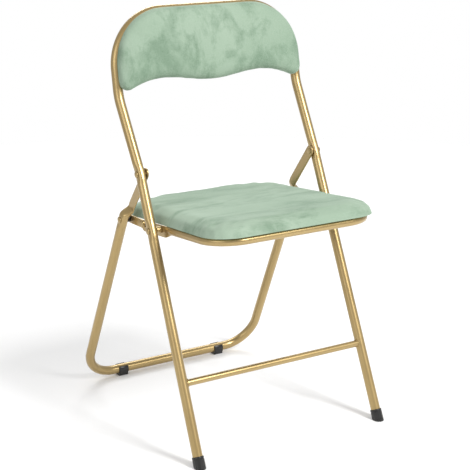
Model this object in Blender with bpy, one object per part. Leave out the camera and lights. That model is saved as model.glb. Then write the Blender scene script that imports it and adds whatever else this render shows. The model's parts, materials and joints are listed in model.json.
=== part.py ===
"""Folding chair: a painted steel tube frame with a padded seat and back.

Metres, +Z up. The chair stands open on the floor, z = 0. Its front faces -Y.
The origin is on the floor, under the middle of the whole chair.

The frame has four pivots on each side, seen from the side as points (y, z):
  A  rear frame on front frame      B  seat on front frame
  C  link on rear leg               D  link on seat
"""
import math

import bmesh
import bpy
from mathutils import Matrix, Vector

# ---------------------------------------------------------------- driving sizes
GAP = 0.0003                        # between pieces that touch

# Front frame: one tube, both front legs and the back's hoop
TUBE_DIAMETER = 0.019
TUBE_WALL = 0.0012
BACK_HEIGHT = 0.800                 # top of the hoop
FRONT_FOOT_HALF_WIDTH = 0.2033
PIVOT_HALF_WIDTH = 0.1971           # at pivot A
BACK_HALF_WIDTH = 0.2003            # of the hoop's straight sides
PIVOT_A_PLACE = (0.2229, 0.5027)    # setback from the front feet, and height; the lower bend is here
SHOULDER_PLACE = (0.2984, 0.6358)   # the same, of the upper bend
BACK_LEAN = math.radians(9.5)       # of the hoop above the shoulder
HOOP_RADIUS = 0.1055
SHOULDER_RADIUS = 0.090

# Flats pressed into the round tubes where a rivet goes through
FLAT_DEPTH = 0.0015
FLAT_LENGTH = 0.022

STRETCHER_DIAMETER = 0.013
STRETCHER_HEIGHT = 0.1415

# Rear frame: one tube, both rear legs and the floor bar
REAR_BAR_PLACE = (0.4784, 0.0139)   # setback from the front feet, and height
REAR_BEND_PLACE = (0.2823, 0.4272)  # above it the squashed end leans forward to pivot A
REAR_FOOT_HALF_WIDTH = 0.2044
REAR_BEND_HALF_WIDTH = 0.1977
REAR_CORNER_RADIUS = 0.066
REAR_BEND_RADIUS = 0.050

# Squashed ends of the rear frame and the seat frame
LUG_THICKNESS = 0.0032
LUG_SLOT = 0.0006                   # between the two walls
REAR_LUG_HALF_HEIGHT = 0.0105
SEAT_LUG_HALF_HEIGHT = 0.0110
SQUASH_LENGTH = 0.018               # over which a tube turns flat

# Seat frame, in seat coordinates: y runs back from pivot B along the seat, z stands square to the seat
PIVOT_B_HEIGHT = 0.4040             # on the front leg's axis
SEAT_TILT = math.radians(5.2)       # the front is higher
SEAT_TUBE_DIAMETER = 0.016
SEAT_TUBE_HALF_WIDTH = 0.1723
SEAT_TUBE_REACH = 0.1948            # from pivot B forward to the front tube's axis
SEAT_TUBE_CORNER = 0.060
SEAT_LUG_HALF_WIDTH = 0.1784        # the squashed ends stand further out
SEAT_LUG_DROP = 0.0028              # and lower
SEAT_LUG_START = 0.0130             # ahead of pivot B
PIVOT_D = (0.0656, 0.0020)          # in seat coordinates

# Link
PIVOT_C_HEIGHT = 0.3986             # on the rear leg's axis
LINK_THICKNESS = 0.0030
LINK_END_RADIUS = 0.0080

# Rivets, washers and spacers
RIVET_RADIUS = 0.0030
RIVET_HEAD_RADIUS = 0.0062
RIVET_DOME = 0.0024
RIVET_FLAT_HEAD = 0.0014
WASHER_THICKNESS = 0.0014
SPACER_RADIUS = 0.0062
HOLE_REACH = 0.3                    # of the cutters for rivet holes, either way from the middle plane

# Seat pad
SEAT_FRONT_REACH = 0.2085           # from pivot B to the pad's front edge
SEAT_REAR_REACH = 0.1840
SEAT_FRONT_HALF_WIDTH = 0.1825
SEAT_REAR_HALF_WIDTH = 0.1725
SEAT_FRONT_CORNER = 0.058
SEAT_REAR_CORNER = 0.072
SEAT_PAD_THICKNESS = 0.021
SEAT_BOARD_THICKNESS = 0.0080
SEAT_BOARD_INSET = 0.010

# Back pad
BACK_PAD_HALF_WIDTH = 0.2020
BACK_PAD_TOP_INSET = 0.0040         # below the hoop's top
BACK_PAD_TIP_HEIGHT = 0.645         # the two lower tips
BACK_PAD_TIP_X = 0.1850
BACK_PAD_ARCH_X = 0.108             # where the wavy lower edge is highest
BACK_PAD_ARCH_RISE = 0.019
BACK_PAD_BELLY_RISE = 0.008         # of the lower edge at the middle
BACK_PAD_THICKNESS = 0.018
BACK_BOARD_THICKNESS = 0.0050
BACK_BOARD_INSET = 0.012

COVER_THICKNESS = 0.0012            # cloth panels behind the boards
EDGE_ROUND = 0.005                  # of the pads

# Tabs and screws
TAB_WIDTH = 0.018
TAB_THICKNESS = 0.0020
TAB_REACH = 0.028                   # inward from the tube's axis
SCREW_REACH = 0.021                 # the same, to the screw
SCREW_RADIUS = 0.0020
SCREW_HEAD_RADIUS = 0.0042
SCREW_HEAD_HEIGHT = 0.0022
SCREW_DEPTH = 0.0040                # into the board
SEAT_TAB_PLACES = (-0.120, -0.045)  # along the seat
BACK_SIDE_TAB_HEIGHT = 0.682
BACK_TOP_TAB_X = 0.065

# Feet
CAP_RADIUS = 0.0113
CAP_LENGTH = 0.021
CAP_FLOOR = 0.0080                  # height of the tube's end above the floor
GLIDE_OFFSET = 0.118
GLIDE_WIDTH = 0.021
GLIDE_WALL = 0.0022
GLIDE_BASE_HALF_WIDTH = 0.0085
GLIDE_MOUTH = math.radians(100)     # its open top, where the bar snaps in

# Mesh fineness
TUBE_SIDES = 16
ROUND_SIDES = 16
LARGE_BEND_STEPS = 8
SMALL_BEND_STEPS = 3
SQUASH_STEPS = 5

# ---------------------------------------------------------------- worked-out places
TUBE_RADIUS = TUBE_DIAMETER / 2
SEAT_TUBE_RADIUS = SEAT_TUBE_DIAMETER / 2
FRONT_LEAN = math.atan2(*PIVOT_A_PLACE)
PIVOT_B_SETBACK = PIVOT_B_HEIGHT * math.tan(FRONT_LEAN)
# The foremost point is the pad's rounded lower front edge, and the rearmost is the glides' backs
PAD_EDGE_HEIGHT = SEAT_TUBE_RADIUS + GAP + EDGE_ROUND
FOREMOST = (PIVOT_B_SETBACK - (SEAT_FRONT_REACH - EDGE_ROUND) * math.cos(SEAT_TILT)
            + PAD_EDGE_HEIGHT * math.sin(SEAT_TILT) - EDGE_ROUND)
REARMOST = REAR_BAR_PLACE[0] + TUBE_RADIUS + GAP + GLIDE_WALL
FEET_Y = -(FOREMOST + REARMOST) / 2


def behind_feet(place):
    """World (y, z) of a place given by its setback from the front feet and its height."""
    return FEET_Y + place[0], place[1]


PIVOT_A = behind_feet(PIVOT_A_PLACE)
SHOULDER = behind_feet(SHOULDER_PLACE)
REAR_BAR = behind_feet(REAR_BAR_PLACE)
REAR_BEND = behind_feet(REAR_BEND_PLACE)
PIVOT_B = behind_feet((PIVOT_B_SETBACK, PIVOT_B_HEIGHT))
REAR_LEAN = math.atan2(REAR_BAR[0] - REAR_BEND[0], REAR_BEND[1] - REAR_BAR[1])
PIVOT_C = (REAR_BAR[0] - (PIVOT_C_HEIGHT - REAR_BAR[1]) * math.tan(REAR_LEAN), PIVOT_C_HEIGHT)


def front_half_width(z):
    """Distance of the front leg's axis from the middle plane, at a height."""
    share = min(z / PIVOT_A[1], 1)
    return FRONT_FOOT_HALF_WIDTH + (PIVOT_HALF_WIDTH - FRONT_FOOT_HALF_WIDTH) * share


def rear_half_width(z):
    """Distance of the rear leg's axis from the middle plane, at a height."""
    share = (z - REAR_BAR[1]) / (REAR_BEND[1] - REAR_BAR[1])
    return REAR_FOOT_HALF_WIDTH + (REAR_BEND_HALF_WIDTH - REAR_FOOT_HALF_WIDTH) * share


# Faces that the pieces at the pivots stack between, as distances from the middle plane
FLAT_HALF = TUBE_RADIUS - FLAT_DEPTH
LEG_INNER_A = front_half_width(PIVOT_A[1]) - FLAT_HALF
LEG_INNER_B = front_half_width(PIVOT_B[1]) - FLAT_HALF
LEG_INNER_C = rear_half_width(PIVOT_C[1]) - FLAT_HALF
REAR_LUG_OUTER = PIVOT_HALF_WIDTH - TUBE_RADIUS - GAP  # clears the front tube where it isn't pressed flat
REAR_LUG_HALF_WIDTH = REAR_LUG_OUTER - LUG_THICKNESS / 2
SEAT_LUG_OUTER = SEAT_LUG_HALF_WIDTH + LUG_THICKNESS / 2
LINK_INNER = SEAT_LUG_OUTER + WASHER_THICKNESS + 2 * GAP
LINK_OUTER = LINK_INNER + LINK_THICKNESS

# The seat's layers, as heights in seat coordinates
SEAT_PAD_BOTTOM = SEAT_TUBE_RADIUS + GAP
SEAT_PAD_TOP = SEAT_PAD_BOTTOM + SEAT_PAD_THICKNESS
SEAT_MATRIX = Matrix.Translation((0, *PIVOT_B)) @ Matrix.Rotation(-SEAT_TILT, 4, "X")
PIVOT_D_WORLD = tuple((SEAT_MATRIX @ Vector((0, *PIVOT_D)))[1:])

# The back's plane: local y up the back, local z forward; its origin is on the hoop's plane at the shoulder
BACK_MATRIX = Matrix.Translation((0, *SHOULDER)) @ Matrix.Rotation(math.pi / 2 - BACK_LEAN, 4, "X")
BACK_PAD_BACK = TUBE_RADIUS + GAP
BACK_PAD_FRONT = BACK_PAD_BACK + BACK_PAD_THICKNESS


def up_the_back(z):
    """Local y of the back's plane for a height above the floor."""
    return (z - SHOULDER[1]) / math.cos(BACK_LEAN)


# ---------------------------------------------------------------- materials
def material(name, colour, roughness, metallic=0.0):
    made = bpy.data.materials.new(name)
    made.use_nodes = True
    shader = made.node_tree.nodes["Principled BSDF"]
    shader.inputs["Base Color"].default_value = (*colour, 1)
    shader.inputs["Roughness"].default_value = roughness
    shader.inputs["Metallic"].default_value = metallic
    return made


# ---------------------------------------------------------------- helpers
def mirrored(point, side):
    """A point given for the right side (+X), placed on side +1 or -1."""
    return Vector((point[0] * side, point[1], point[2]))


def new_object(name, mesh_builder, finish=None, parent=None):
    """Make an object from a bmesh, with outward normals and smooth round faces."""
    bmesh.ops.recalc_face_normals(mesh_builder, faces=mesh_builder.faces[:])
    mesh = bpy.data.meshes.new(name)
    mesh_builder.to_mesh(mesh)
    mesh_builder.free()
    mesh.shade_smooth()
    mesh.set_sharp_from_angle(angle=math.radians(35))
    made = bpy.data.objects.new(name, mesh)
    bpy.context.scene.collection.objects.link(made)
    if finish:
        mesh.materials.append(finish)
    if parent:
        made.parent = parent
    return made


def rounded_path(points, radii, steps, closed=False):
    """Replace each inner corner of a polyline by an arc; return the path's points."""
    points = [Vector(p) for p in points]
    count = len(points)
    path = []
    for i, corner in enumerate(points):
        if not closed and i in (0, count - 1):
            path.append(corner)
            continue
        back = (points[i - 1] - corner).normalized()
        ahead = (points[(i + 1) % count] - corner).normalized()
        half = back.angle(ahead) / 2
        reach = radii[i] / math.tan(half)
        middle = corner + (back + ahead).normalized() * radii[i] / math.sin(half)
        start = corner + back * reach - middle
        turn = math.pi - 2 * half
        axis = start.cross(corner + ahead * reach - middle).normalized()
        for step in range(steps[i] + 1):
            path.append(middle + Matrix.Rotation(turn * step / steps[i], 3, axis) @ start)
    return path


def tube_mesh(sections, start_axis=Vector((1, 0, 0))):
    """Sweep half a hollow tube, which ends open on the middle plane.

    Each section is a point of the axis, the outer half sizes along the start axis and across it,
    and the bore's two half sizes.
    """
    builder = bmesh.new()
    across = start_axis
    outer_rings = []
    inner_rings = []
    for i, (point, half_x, half_y, bore_x, bore_y) in enumerate(sections):
        before = sections[max(i - 1, 0)][0]
        after = sections[min(i + 1, len(sections) - 1)][0]
        along = (after - before).normalized()
        across = (across - along * across.dot(along)).normalized()
        side = along.cross(across)
        frame = Matrix.Translation(point) @ Matrix((across, side, along)).transposed().to_4x4()
        for rings, x, y in ((outer_rings, half_x, half_y), (inner_rings, bore_x, bore_y)):
            ring = bmesh.ops.create_circle(builder, segments=TUBE_SIDES, radius=1,
                                           matrix=frame @ Matrix.Diagonal((x, y, 1, 1)))["verts"]
            rings.append(ring)
    for rings in (outer_rings, inner_rings):
        for ring, following in zip(rings, rings[1:]):
            join_rings(builder, ring, following)
    join_rings(builder, outer_rings[0], inner_rings[0])
    return builder


def join_rings(builder, ring, following):
    """Bridge two rings that have the same number of points."""
    count = len(ring)
    for i in range(count):
        builder.faces.new((ring[i], ring[(i + 1) % count], following[(i + 1) % count], following[i]))


def round_section(point, radius):
    return point, radius, radius, radius - TUBE_WALL, radius - TUBE_WALL


def lug_section(point, half_height):
    """Section of a squashed end: two walls with a thin slot between them."""
    return point, LUG_THICKNESS / 2, half_height, LUG_SLOT / 2, half_height - TUBE_WALL


def blended(point, first, second, share):
    """A section between two others, eased at both ends."""
    smooth = share * share * (3 - 2 * share)
    return point, *(a + (b - a) * smooth for a, b in zip(first[1:], second[1:]))


def lug_tip(end, ahead, radius):
    """Sections of a squashed end's round tip, outermost first."""
    sections = []
    for i in range(4):
        turn = math.radians(76 - 76 * i / 3)
        sections.append(lug_section(end + ahead * radius * math.sin(turn), radius * math.cos(turn)))
    return sections


def mirror_about_middle(piece):
    """Complete a half that ends on the middle plane, x = 0."""
    mirror = piece.modifiers.new("other_half", "MIRROR")
    mirror.use_axis = (True, False, False)
    mirror.use_clip = True
    mirror.merge_threshold = 0.00001


def cutter(name, builder, matrix=None):
    """A guide object that cuts others and isn't part of the chair."""
    made = new_object(name, builder)
    made.hide_render = True
    made.display_type = "WIRE"
    if matrix:
        made.matrix_world = matrix
    return made


def cut(piece, tool):
    boolean = piece.modifiers.new("cut_" + tool.name, "BOOLEAN")
    boolean.operation = "DIFFERENCE"
    boolean.object = tool
    boolean.solver = "EXACT"


def rod_mesh(builder, start, end, radius, sides=ROUND_SIDES):
    """Add a solid cylinder between two points."""
    start = Vector(start)
    along = Vector(end) - start
    turn = along.to_track_quat("Z", "Y").to_matrix().to_4x4()
    place = Matrix.Translation(start + along / 2) @ turn
    bmesh.ops.create_cone(builder, cap_ends=True, segments=sides, radius1=radius, radius2=radius,
                          depth=along.length, matrix=place)


def rivet_holes(name, pivots, matrix=None):
    """Cutter for rivet holes on both sides of the chair, each given as (y, z)."""
    builder = bmesh.new()
    for pivot in pivots:
        rod_mesh(builder, (-HOLE_REACH, *pivot), (HOLE_REACH, *pivot), RIVET_RADIUS + GAP, 12)
    return cutter(name, builder, matrix)


def turned_mesh(profile, sides=ROUND_SIDES):
    """Spin a closed profile of (radius, height) points about Z."""
    builder = bmesh.new()
    points = [builder.verts.new((radius, 0, height)) for radius, height in profile]
    edges = [builder.edges.new(pair) for pair in zip(points, points[1:])]
    if min(profile)[0] > 0:
        edges.append(builder.edges.new((points[-1], points[0])))
    bmesh.ops.spin(builder, geom=points + edges, cent=(0, 0, 0), axis=(0, 0, 1), angle=2 * math.pi,
                   steps=sides, use_merge=True)
    bmesh.ops.remove_doubles(builder, verts=builder.verts[:], dist=0.00001)
    return builder


def flat_plate_mesh(outline, low, high):
    """Extrude an outline of (x, y) points between two heights."""
    builder = bmesh.new()
    face = builder.faces.new([builder.verts.new((x, y, low)) for x, y in outline])
    raised = bmesh.ops.extrude_face_region(builder, geom=[face])["geom"]
    corners = [v for v in raised if isinstance(v, bmesh.types.BMVert)]
    bmesh.ops.translate(builder, verts=corners, vec=(0, 0, high - low))
    return builder


def sideways(point_yz, x, side):
    """Matrix that stands a turned piece's Z axis along +X or -X, outward, at a pivot."""
    return Matrix.Translation((x * side, *point_yz)) @ Matrix.Rotation(side * math.pi / 2, 4, "Y")


def dome(base, rise):
    """Profile of a rivet's head, from its rim to its top. A negative rise points down."""
    rim = rise / 4
    points = [(RIVET_HEAD_RADIUS, base)]
    for i in range(3):
        turn = math.pi / 2 * i / 3
        points.append((RIVET_HEAD_RADIUS * math.cos(turn), base + rim + (rise - rim) * math.sin(turn)))
    return points + [(0, base + rise)]


# ---------------------------------------------------------------- frames
def front_path():
    """The left half of the front tube's axis, from the foot up to the middle of the hoop."""
    foot = Vector((-FRONT_FOOT_HALF_WIDTH, FEET_Y, 0))
    knee = Vector((-PIVOT_HALF_WIDTH, *PIVOT_A))
    up_leg = (knee - foot).normalized()
    start = foot + up_leg * CAP_FLOOR / up_leg.z
    shoulder = Vector((-BACK_HALF_WIDTH, *SHOULDER))
    rise = BACK_HEIGHT - TUBE_RADIUS - SHOULDER[1]
    top_y = SHOULDER[0] + rise * math.tan(BACK_LEAN)
    corner = Vector((-BACK_HALF_WIDTH, top_y, SHOULDER[1] + rise))
    middle = Vector((0, top_y, corner.z))
    lower = foot + (knee - foot) * (PIVOT_B[1] / PIVOT_A[1])
    stations = []
    for offset in (-FLAT_LENGTH, -FLAT_LENGTH / 3, FLAT_LENGTH / 3, FLAT_LENGTH):
        stations.append(lower + up_leg * offset)
    for offset in (-FLAT_LENGTH, -FLAT_LENGTH / 3):
        stations.append(knee + up_leg * offset)
    bends = rounded_path([knee + up_leg * 0.001, shoulder, corner, middle], [0, SHOULDER_RADIUS, HOOP_RADIUS, 0],
                         [0, SMALL_BEND_STEPS + 1, LARGE_BEND_STEPS, 0])
    up_back = (shoulder - knee).normalized()
    above = [knee + up_back * FLAT_LENGTH / 3, knee + up_back * FLAT_LENGTH]
    return [start] + stations + above + bends[1:]


def pressed(point, pivots):
    """Section of the frame tube, which is pressed flatter near the pivots it carries."""
    near = min((point - pivot).length for pivot in pivots)
    share = max(0, min(1, (FLAT_LENGTH - near) / (FLAT_LENGTH * 0.6)))
    half_x = TUBE_RADIUS - FLAT_DEPTH * share
    half_y = TUBE_RADIUS + FLAT_DEPTH * 0.5 * share
    return point, half_x, half_y, half_x - TUBE_WALL, half_y - TUBE_WALL


def make_front_frame(gold):
    pivots = [Vector((-front_half_width(p[1]), *p)) for p in (PIVOT_A, PIVOT_B)]
    sections = [pressed(point, pivots) for point in front_path()]
    frame = new_object("front_frame", tube_mesh(sections), gold)
    mirror_about_middle(frame)
    cut(frame, rivet_holes("front_rivet_holes", (PIVOT_A, PIVOT_B)))


def make_stretcher(gold):
    y = FEET_Y + STRETCHER_HEIGHT * math.tan(FRONT_LEAN)
    reach = front_half_width(STRETCHER_HEIGHT)
    radius = STRETCHER_DIAMETER / 2
    sections = [round_section(Vector((x, y, STRETCHER_HEIGHT)), radius) for x in (-reach, 0)]
    stretcher = new_object("front_stretcher", tube_mesh(sections, Vector((0, 1, 0))), gold)
    mirror_about_middle(stretcher)
    legs = bmesh.new()
    for side in (-1, 1):
        foot = mirrored((FRONT_FOOT_HALF_WIDTH, FEET_Y, 0), side)
        knee = mirrored((PIVOT_HALF_WIDTH, *PIVOT_A), side)
        rod_mesh(legs, foot, knee, TUBE_RADIUS + GAP, 32)
    cut(stretcher, cutter("stretcher_ends", legs))


def make_rear_frame(gold, pivot_empty):
    pivot = Vector((-REAR_LUG_HALF_WIDTH, *PIVOT_A))
    bend = Vector((-REAR_LUG_HALF_WIDTH, *REAR_BEND))
    foot = Vector((-REAR_FOOT_HALF_WIDTH, *REAR_BAR))
    leg_top = Vector((-REAR_BEND_HALF_WIDTH, *REAR_BEND))
    down = (foot - leg_top).normalized()
    link = Vector((-rear_half_width(PIVOT_C[1]), *PIVOT_C))
    sections = lug_tip(pivot, (pivot - bend).normalized(), REAR_LUG_HALF_HEIGHT)
    curve = rounded_path([pivot, bend, bend + down * SQUASH_LENGTH], [0, REAR_BEND_RADIUS, 0],
                         [0, SMALL_BEND_STEPS, 0])[1:-1]
    sections += [lug_section(point, REAR_LUG_HALF_HEIGHT) for point in curve]
    squash_start = (curve[-1] - bend).length
    for i in range(1, SQUASH_STEPS + 1):
        share = i / SQUASH_STEPS
        place = leg_top + down * (squash_start + SQUASH_LENGTH * share)
        smooth = share * share * (3 - 2 * share)
        place.x = -REAR_LUG_HALF_WIDTH + (place.x + REAR_LUG_HALF_WIDTH) * smooth
        sections.append(blended(place, lug_section(place, REAR_LUG_HALF_HEIGHT), pressed(link, [link]), share))
    sections += [pressed(link + down * offset, [link]) for offset in (FLAT_LENGTH / 3, FLAT_LENGTH)]
    bar = rounded_path([link, foot, Vector((0, *REAR_BAR))], [0, REAR_CORNER_RADIUS, 0],
                       [0, LARGE_BEND_STEPS, 0])[1:]
    sections += [round_section(point, TUBE_RADIUS) for point in bar]
    frame = new_object("rear_frame", tube_mesh(sections), gold)
    mirror_about_middle(frame)
    cut(frame, rivet_holes("rear_rivet_holes", (PIVOT_A, PIVOT_C)))
    hang(frame, pivot_empty)


def make_seat_frame(gold, pivot_empty):
    """The seat tube, in seat coordinates."""
    lug_end = Vector((-SEAT_LUG_HALF_WIDTH, PIVOT_D[0], -SEAT_LUG_DROP))
    sections = lug_tip(lug_end, Vector((0, 1, 0)), SEAT_LUG_HALF_HEIGHT)
    for i in range(SQUASH_STEPS + 1):
        share = i / SQUASH_STEPS
        smooth = share * share * (3 - 2 * share)
        place = Vector((-SEAT_LUG_HALF_WIDTH + (SEAT_LUG_HALF_WIDTH - SEAT_TUBE_HALF_WIDTH) * smooth,
                        -SEAT_LUG_START - SQUASH_LENGTH * share, -SEAT_LUG_DROP * (1 - smooth)))
        sections.append(blended(place, lug_section(place, SEAT_LUG_HALF_HEIGHT),
                                round_section(place, SEAT_TUBE_RADIUS), share))
    front = rounded_path([(-SEAT_TUBE_HALF_WIDTH, 0, 0), (-SEAT_TUBE_HALF_WIDTH, -SEAT_TUBE_REACH, 0),
                          (0, -SEAT_TUBE_REACH, 0)], [0, SEAT_TUBE_CORNER, 0], [0, LARGE_BEND_STEPS - 1, 0])[1:]
    sections += [round_section(point, SEAT_TUBE_RADIUS) for point in front]
    frame = new_object("seat_frame", tube_mesh(sections), gold, pivot_empty)
    mirror_about_middle(frame)
    cut(frame, rivet_holes("seat_rivet_holes", ((0, 0), PIVOT_D), SEAT_MATRIX))


# ---------------------------------------------------------------- pivots
def rivet_end(place, rise):
    """Profile of one end of a rivet: a head that rises from a face, or a plain end if it has no rise."""
    shank = [(RIVET_RADIUS, place)]
    return shank + (dome(place, rise) if rise else [(0, place)])


def make_rivet(name, pivot, side, inner, outer, finish):
    """A solid rivet. Each end is its distance from the middle plane and the rise of its head."""
    profile = rivet_end(*inner)[::-1] + rivet_end(*outer)
    rivet = new_object(name, turned_mesh(profile), finish)
    rivet.matrix_world = sideways(pivot, 0, side)
    return rivet


def make_ring(name, pivot, side, inner_face, outer_face, finish):
    """A washer or spacer that fills the space between two faces."""
    low = inner_face + GAP
    high = outer_face - GAP
    bore = RIVET_RADIUS + GAP
    profile = [(bore, low), (SPACER_RADIUS, low), (SPACER_RADIUS, high), (bore, high)]
    ring = new_object(name, turned_mesh(profile), finish)
    ring.matrix_world = sideways(pivot, 0, side)
    return ring


def make_link(name, side, finish):
    """A flat bar with round ends, from pivot C to pivot D."""
    start = Vector(PIVOT_C)
    along = Vector(PIVOT_D_WORLD) - start
    turn = math.atan2(along.y, along.x)
    outline = []
    for middle, first in ((along.length, -math.pi / 2), (0, math.pi / 2)):
        for i in range(9):
            angle = first + math.pi * i / 8
            outline.append((middle + LINK_END_RADIUS * math.cos(angle), LINK_END_RADIUS * math.sin(angle)))
    low, high = (LINK_INNER, LINK_OUTER) if side > 0 else (-LINK_OUTER, -LINK_INNER)
    link = new_object(name, flat_plate_mesh(outline, low, high), finish)
    stand = Matrix(((0, 0, 1), (1, 0, 0), (0, 1, 0))).to_4x4()
    link.matrix_world = (Matrix.Translation((0, *PIVOT_C)) @ Matrix.Rotation(turn, 4, "X")) @ stand
    return link


def make_pivots(gold, black, empties):
    """Rivets, spacers and links on both sides.

    Pivot D is where the linkage is opened: its rivet is in two, one half on the link and one on the seat
    frame, which meet at the seat frame's outer face.
    """
    link_cutter = rivet_holes("link_rivet_holes", (PIVOT_C, PIVOT_D_WORLD))
    rear_inner = REAR_LUG_HALF_WIDTH - LUG_THICKNESS / 2 - GAP
    seat_inner = SEAT_LUG_HALF_WIDTH - LUG_THICKNESS / 2 - GAP
    outer_a = front_half_width(PIVOT_A[1]) + FLAT_HALF + GAP
    outer_b = front_half_width(PIVOT_B[1]) + FLAT_HALF + GAP
    outer_c = rear_half_width(PIVOT_C[1]) + FLAT_HALF + GAP
    low = RIVET_FLAT_HEAD
    high = RIVET_DOME
    for word, side in (("left", -1), ("right", 1)):
        make_rivet("rear_pivot_rivet_" + word, PIVOT_A, side, (rear_inner, -low), (outer_a, high), gold)
        make_ring("rear_pivot_washer_" + word, PIVOT_A, side, REAR_LUG_OUTER, LEG_INNER_A, gold)
        make_rivet("seat_pivot_rivet_" + word, PIVOT_B, side, (seat_inner, -low), (outer_b, high), gold)
        make_ring("seat_pivot_spacer_" + word, PIVOT_B, side, SEAT_LUG_OUTER, LEG_INNER_B, gold)
        leg_rivet = make_rivet("link_leg_rivet_" + word, PIVOT_C, side, (LINK_INNER - GAP, -low), (outer_c, high),
                               gold)
        leg_spacer = make_ring("link_leg_spacer_" + word, PIVOT_C, side, LINK_OUTER, LEG_INNER_C, black)
        outer_half = make_rivet("link_seat_rivet_" + word, PIVOT_D_WORLD, side, (SEAT_LUG_OUTER + GAP, 0),
                                (LINK_OUTER + GAP, low), gold)
        inner_half = make_rivet("link_seat_rivet_end_" + word, PIVOT_D_WORLD, side, (seat_inner, -low),
                                (SEAT_LUG_OUTER, 0), gold)
        washer = make_ring("link_seat_washer_" + word, PIVOT_D_WORLD, side, SEAT_LUG_OUTER, LINK_INNER, black)
        link = make_link("fold_link_" + word, side, gold)
        cut(link, link_cutter)
        for body, pieces in (("rear", (leg_rivet, leg_spacer)), ("seat", (inner_half,)),
                             ("link", (link, outer_half, washer))):
            for piece in pieces:
                hang(piece, empties[body])


# ---------------------------------------------------------------- seat and back pads
def seat_outline(inset):
    """The seat's outline in seat coordinates, as (x, y) points."""
    front = SEAT_FRONT_HALF_WIDTH - inset
    rear = SEAT_REAR_HALF_WIDTH - inset
    ahead = -SEAT_FRONT_REACH + inset
    behind = SEAT_REAR_REACH - inset
    corners = [(-front, ahead, 0), (front, ahead, 0), (rear, behind, 0), (-rear, behind, 0)]
    radii = [SEAT_FRONT_CORNER - inset] * 2 + [SEAT_REAR_CORNER - inset] * 2
    return [(p.x, p.y) for p in rounded_path(corners, radii, [7] * 4, closed=True)]


def lower_edge(x):
    """Height of the back pad's wavy lower edge above its tips."""
    if x < BACK_PAD_ARCH_X:
        share = (1 - math.cos(math.pi * x / BACK_PAD_ARCH_X)) / 2
        return BACK_PAD_BELLY_RISE + (BACK_PAD_ARCH_RISE - BACK_PAD_BELLY_RISE) * share
    share = (x - BACK_PAD_ARCH_X) / (BACK_PAD_TIP_X - BACK_PAD_ARCH_X)
    return BACK_PAD_ARCH_RISE * (1 - share * share)


def back_outline(inset):
    """The back pad's outline, as (x, y) points with y up the back."""
    low = up_the_back(BACK_PAD_TIP_HEIGHT) + inset
    top = up_the_back(BACK_HEIGHT - BACK_PAD_TOP_INSET) - inset
    side = BACK_PAD_HALF_WIDTH - inset
    tip = BACK_PAD_TIP_X - inset
    steps = 14
    lower = []
    for i in range(steps + 1):
        x = BACK_PAD_TIP_X * i / steps
        lower.append((x * tip / BACK_PAD_TIP_X, low + lower_edge(x)))
    blunt = side - tip
    right = lower + [(side - blunt * 0.25, low + blunt * 0.35), (side, low + blunt)]
    corner = rounded_path([(side, low, 0), (side, top, 0), (0, top, 0)], [0, HOOP_RADIUS - inset, 0],
                          [0, LARGE_BEND_STEPS, 0])[1:-1]
    right += [(p.x, p.y) for p in corner]
    left = [(-x, y) for x, y in right[::-1] if x > 0]
    return right + left


def make_pad(prefix, outline, bottom, thickness, board_thickness, board_inset, finishes, holder):
    """Cushion with a pocket in its back that holds the board, and the cover that closes the pocket."""
    velvet, wood, cloth = finishes
    cushion = new_object(prefix + "_cushion", flat_plate_mesh(outline(0), bottom, bottom + thickness), velvet)
    rounding = cushion.modifiers.new("edge_round", "BEVEL")
    rounding.width = EDGE_ROUND
    rounding.segments = 2
    rounding.limit_method = "ANGLE"
    rounding.angle_limit = math.radians(60)
    cover_top = bottom + COVER_THICKNESS
    board_top = cover_top + GAP + board_thickness
    pocket = cutter(prefix + "_pocket", flat_plate_mesh(outline(board_inset), bottom - 0.001, board_top + GAP))
    cut(cushion, pocket)
    board = new_object(prefix + "_board", flat_plate_mesh(outline(board_inset + GAP), cover_top + GAP, board_top),
                       wood)
    cover = new_object(prefix + "_back_cover", flat_plate_mesh(outline(board_inset + GAP), bottom, cover_top), cloth)
    for piece in (cushion, pocket, board, cover):
        holder(piece)
    return board, cover


def make_tab(name, middle, size, tube_cutter, hole_cutter, gold, holder):
    """A small welded plate; middle and size are in the pad's own coordinates."""
    builder = bmesh.new()
    place = Matrix.Translation(middle) @ Matrix.Diagonal((*size, 1))
    bmesh.ops.create_cube(builder, size=1, matrix=place)
    tab = new_object(name, builder, gold)
    cut(tab, tube_cutter)
    cut(tab, hole_cutter)
    holder(tab)


def make_screw(name, place, tab_bottom, tip_height, steel, holder):
    """A round-headed screw that stands along the pad's z, its head against a tab's lower face."""
    base = tab_bottom - GAP
    rim = base - SCREW_HEAD_HEIGHT * 0.4
    profile = [(0, base - SCREW_HEAD_HEIGHT), (SCREW_HEAD_RADIUS * 0.7, base - SCREW_HEAD_HEIGHT * 0.85),
               (SCREW_HEAD_RADIUS, rim), (SCREW_HEAD_RADIUS, base), (SCREW_RADIUS, base),
               (SCREW_RADIUS, tip_height - SCREW_RADIUS), (0, tip_height)]
    builder = turned_mesh(profile, 14)
    bmesh.ops.translate(builder, verts=builder.verts[:], vec=(*place, 0))
    holder(new_object(name, builder, steel))


def screw_holes_cutter(name, places, low, high, holder):
    builder = bmesh.new()
    for x, y in places:
        rod_mesh(builder, (x, y, low), (x, y, high), SCREW_RADIUS + GAP, 12)
    made = cutter(name, builder)
    holder(made)
    return made


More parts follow.
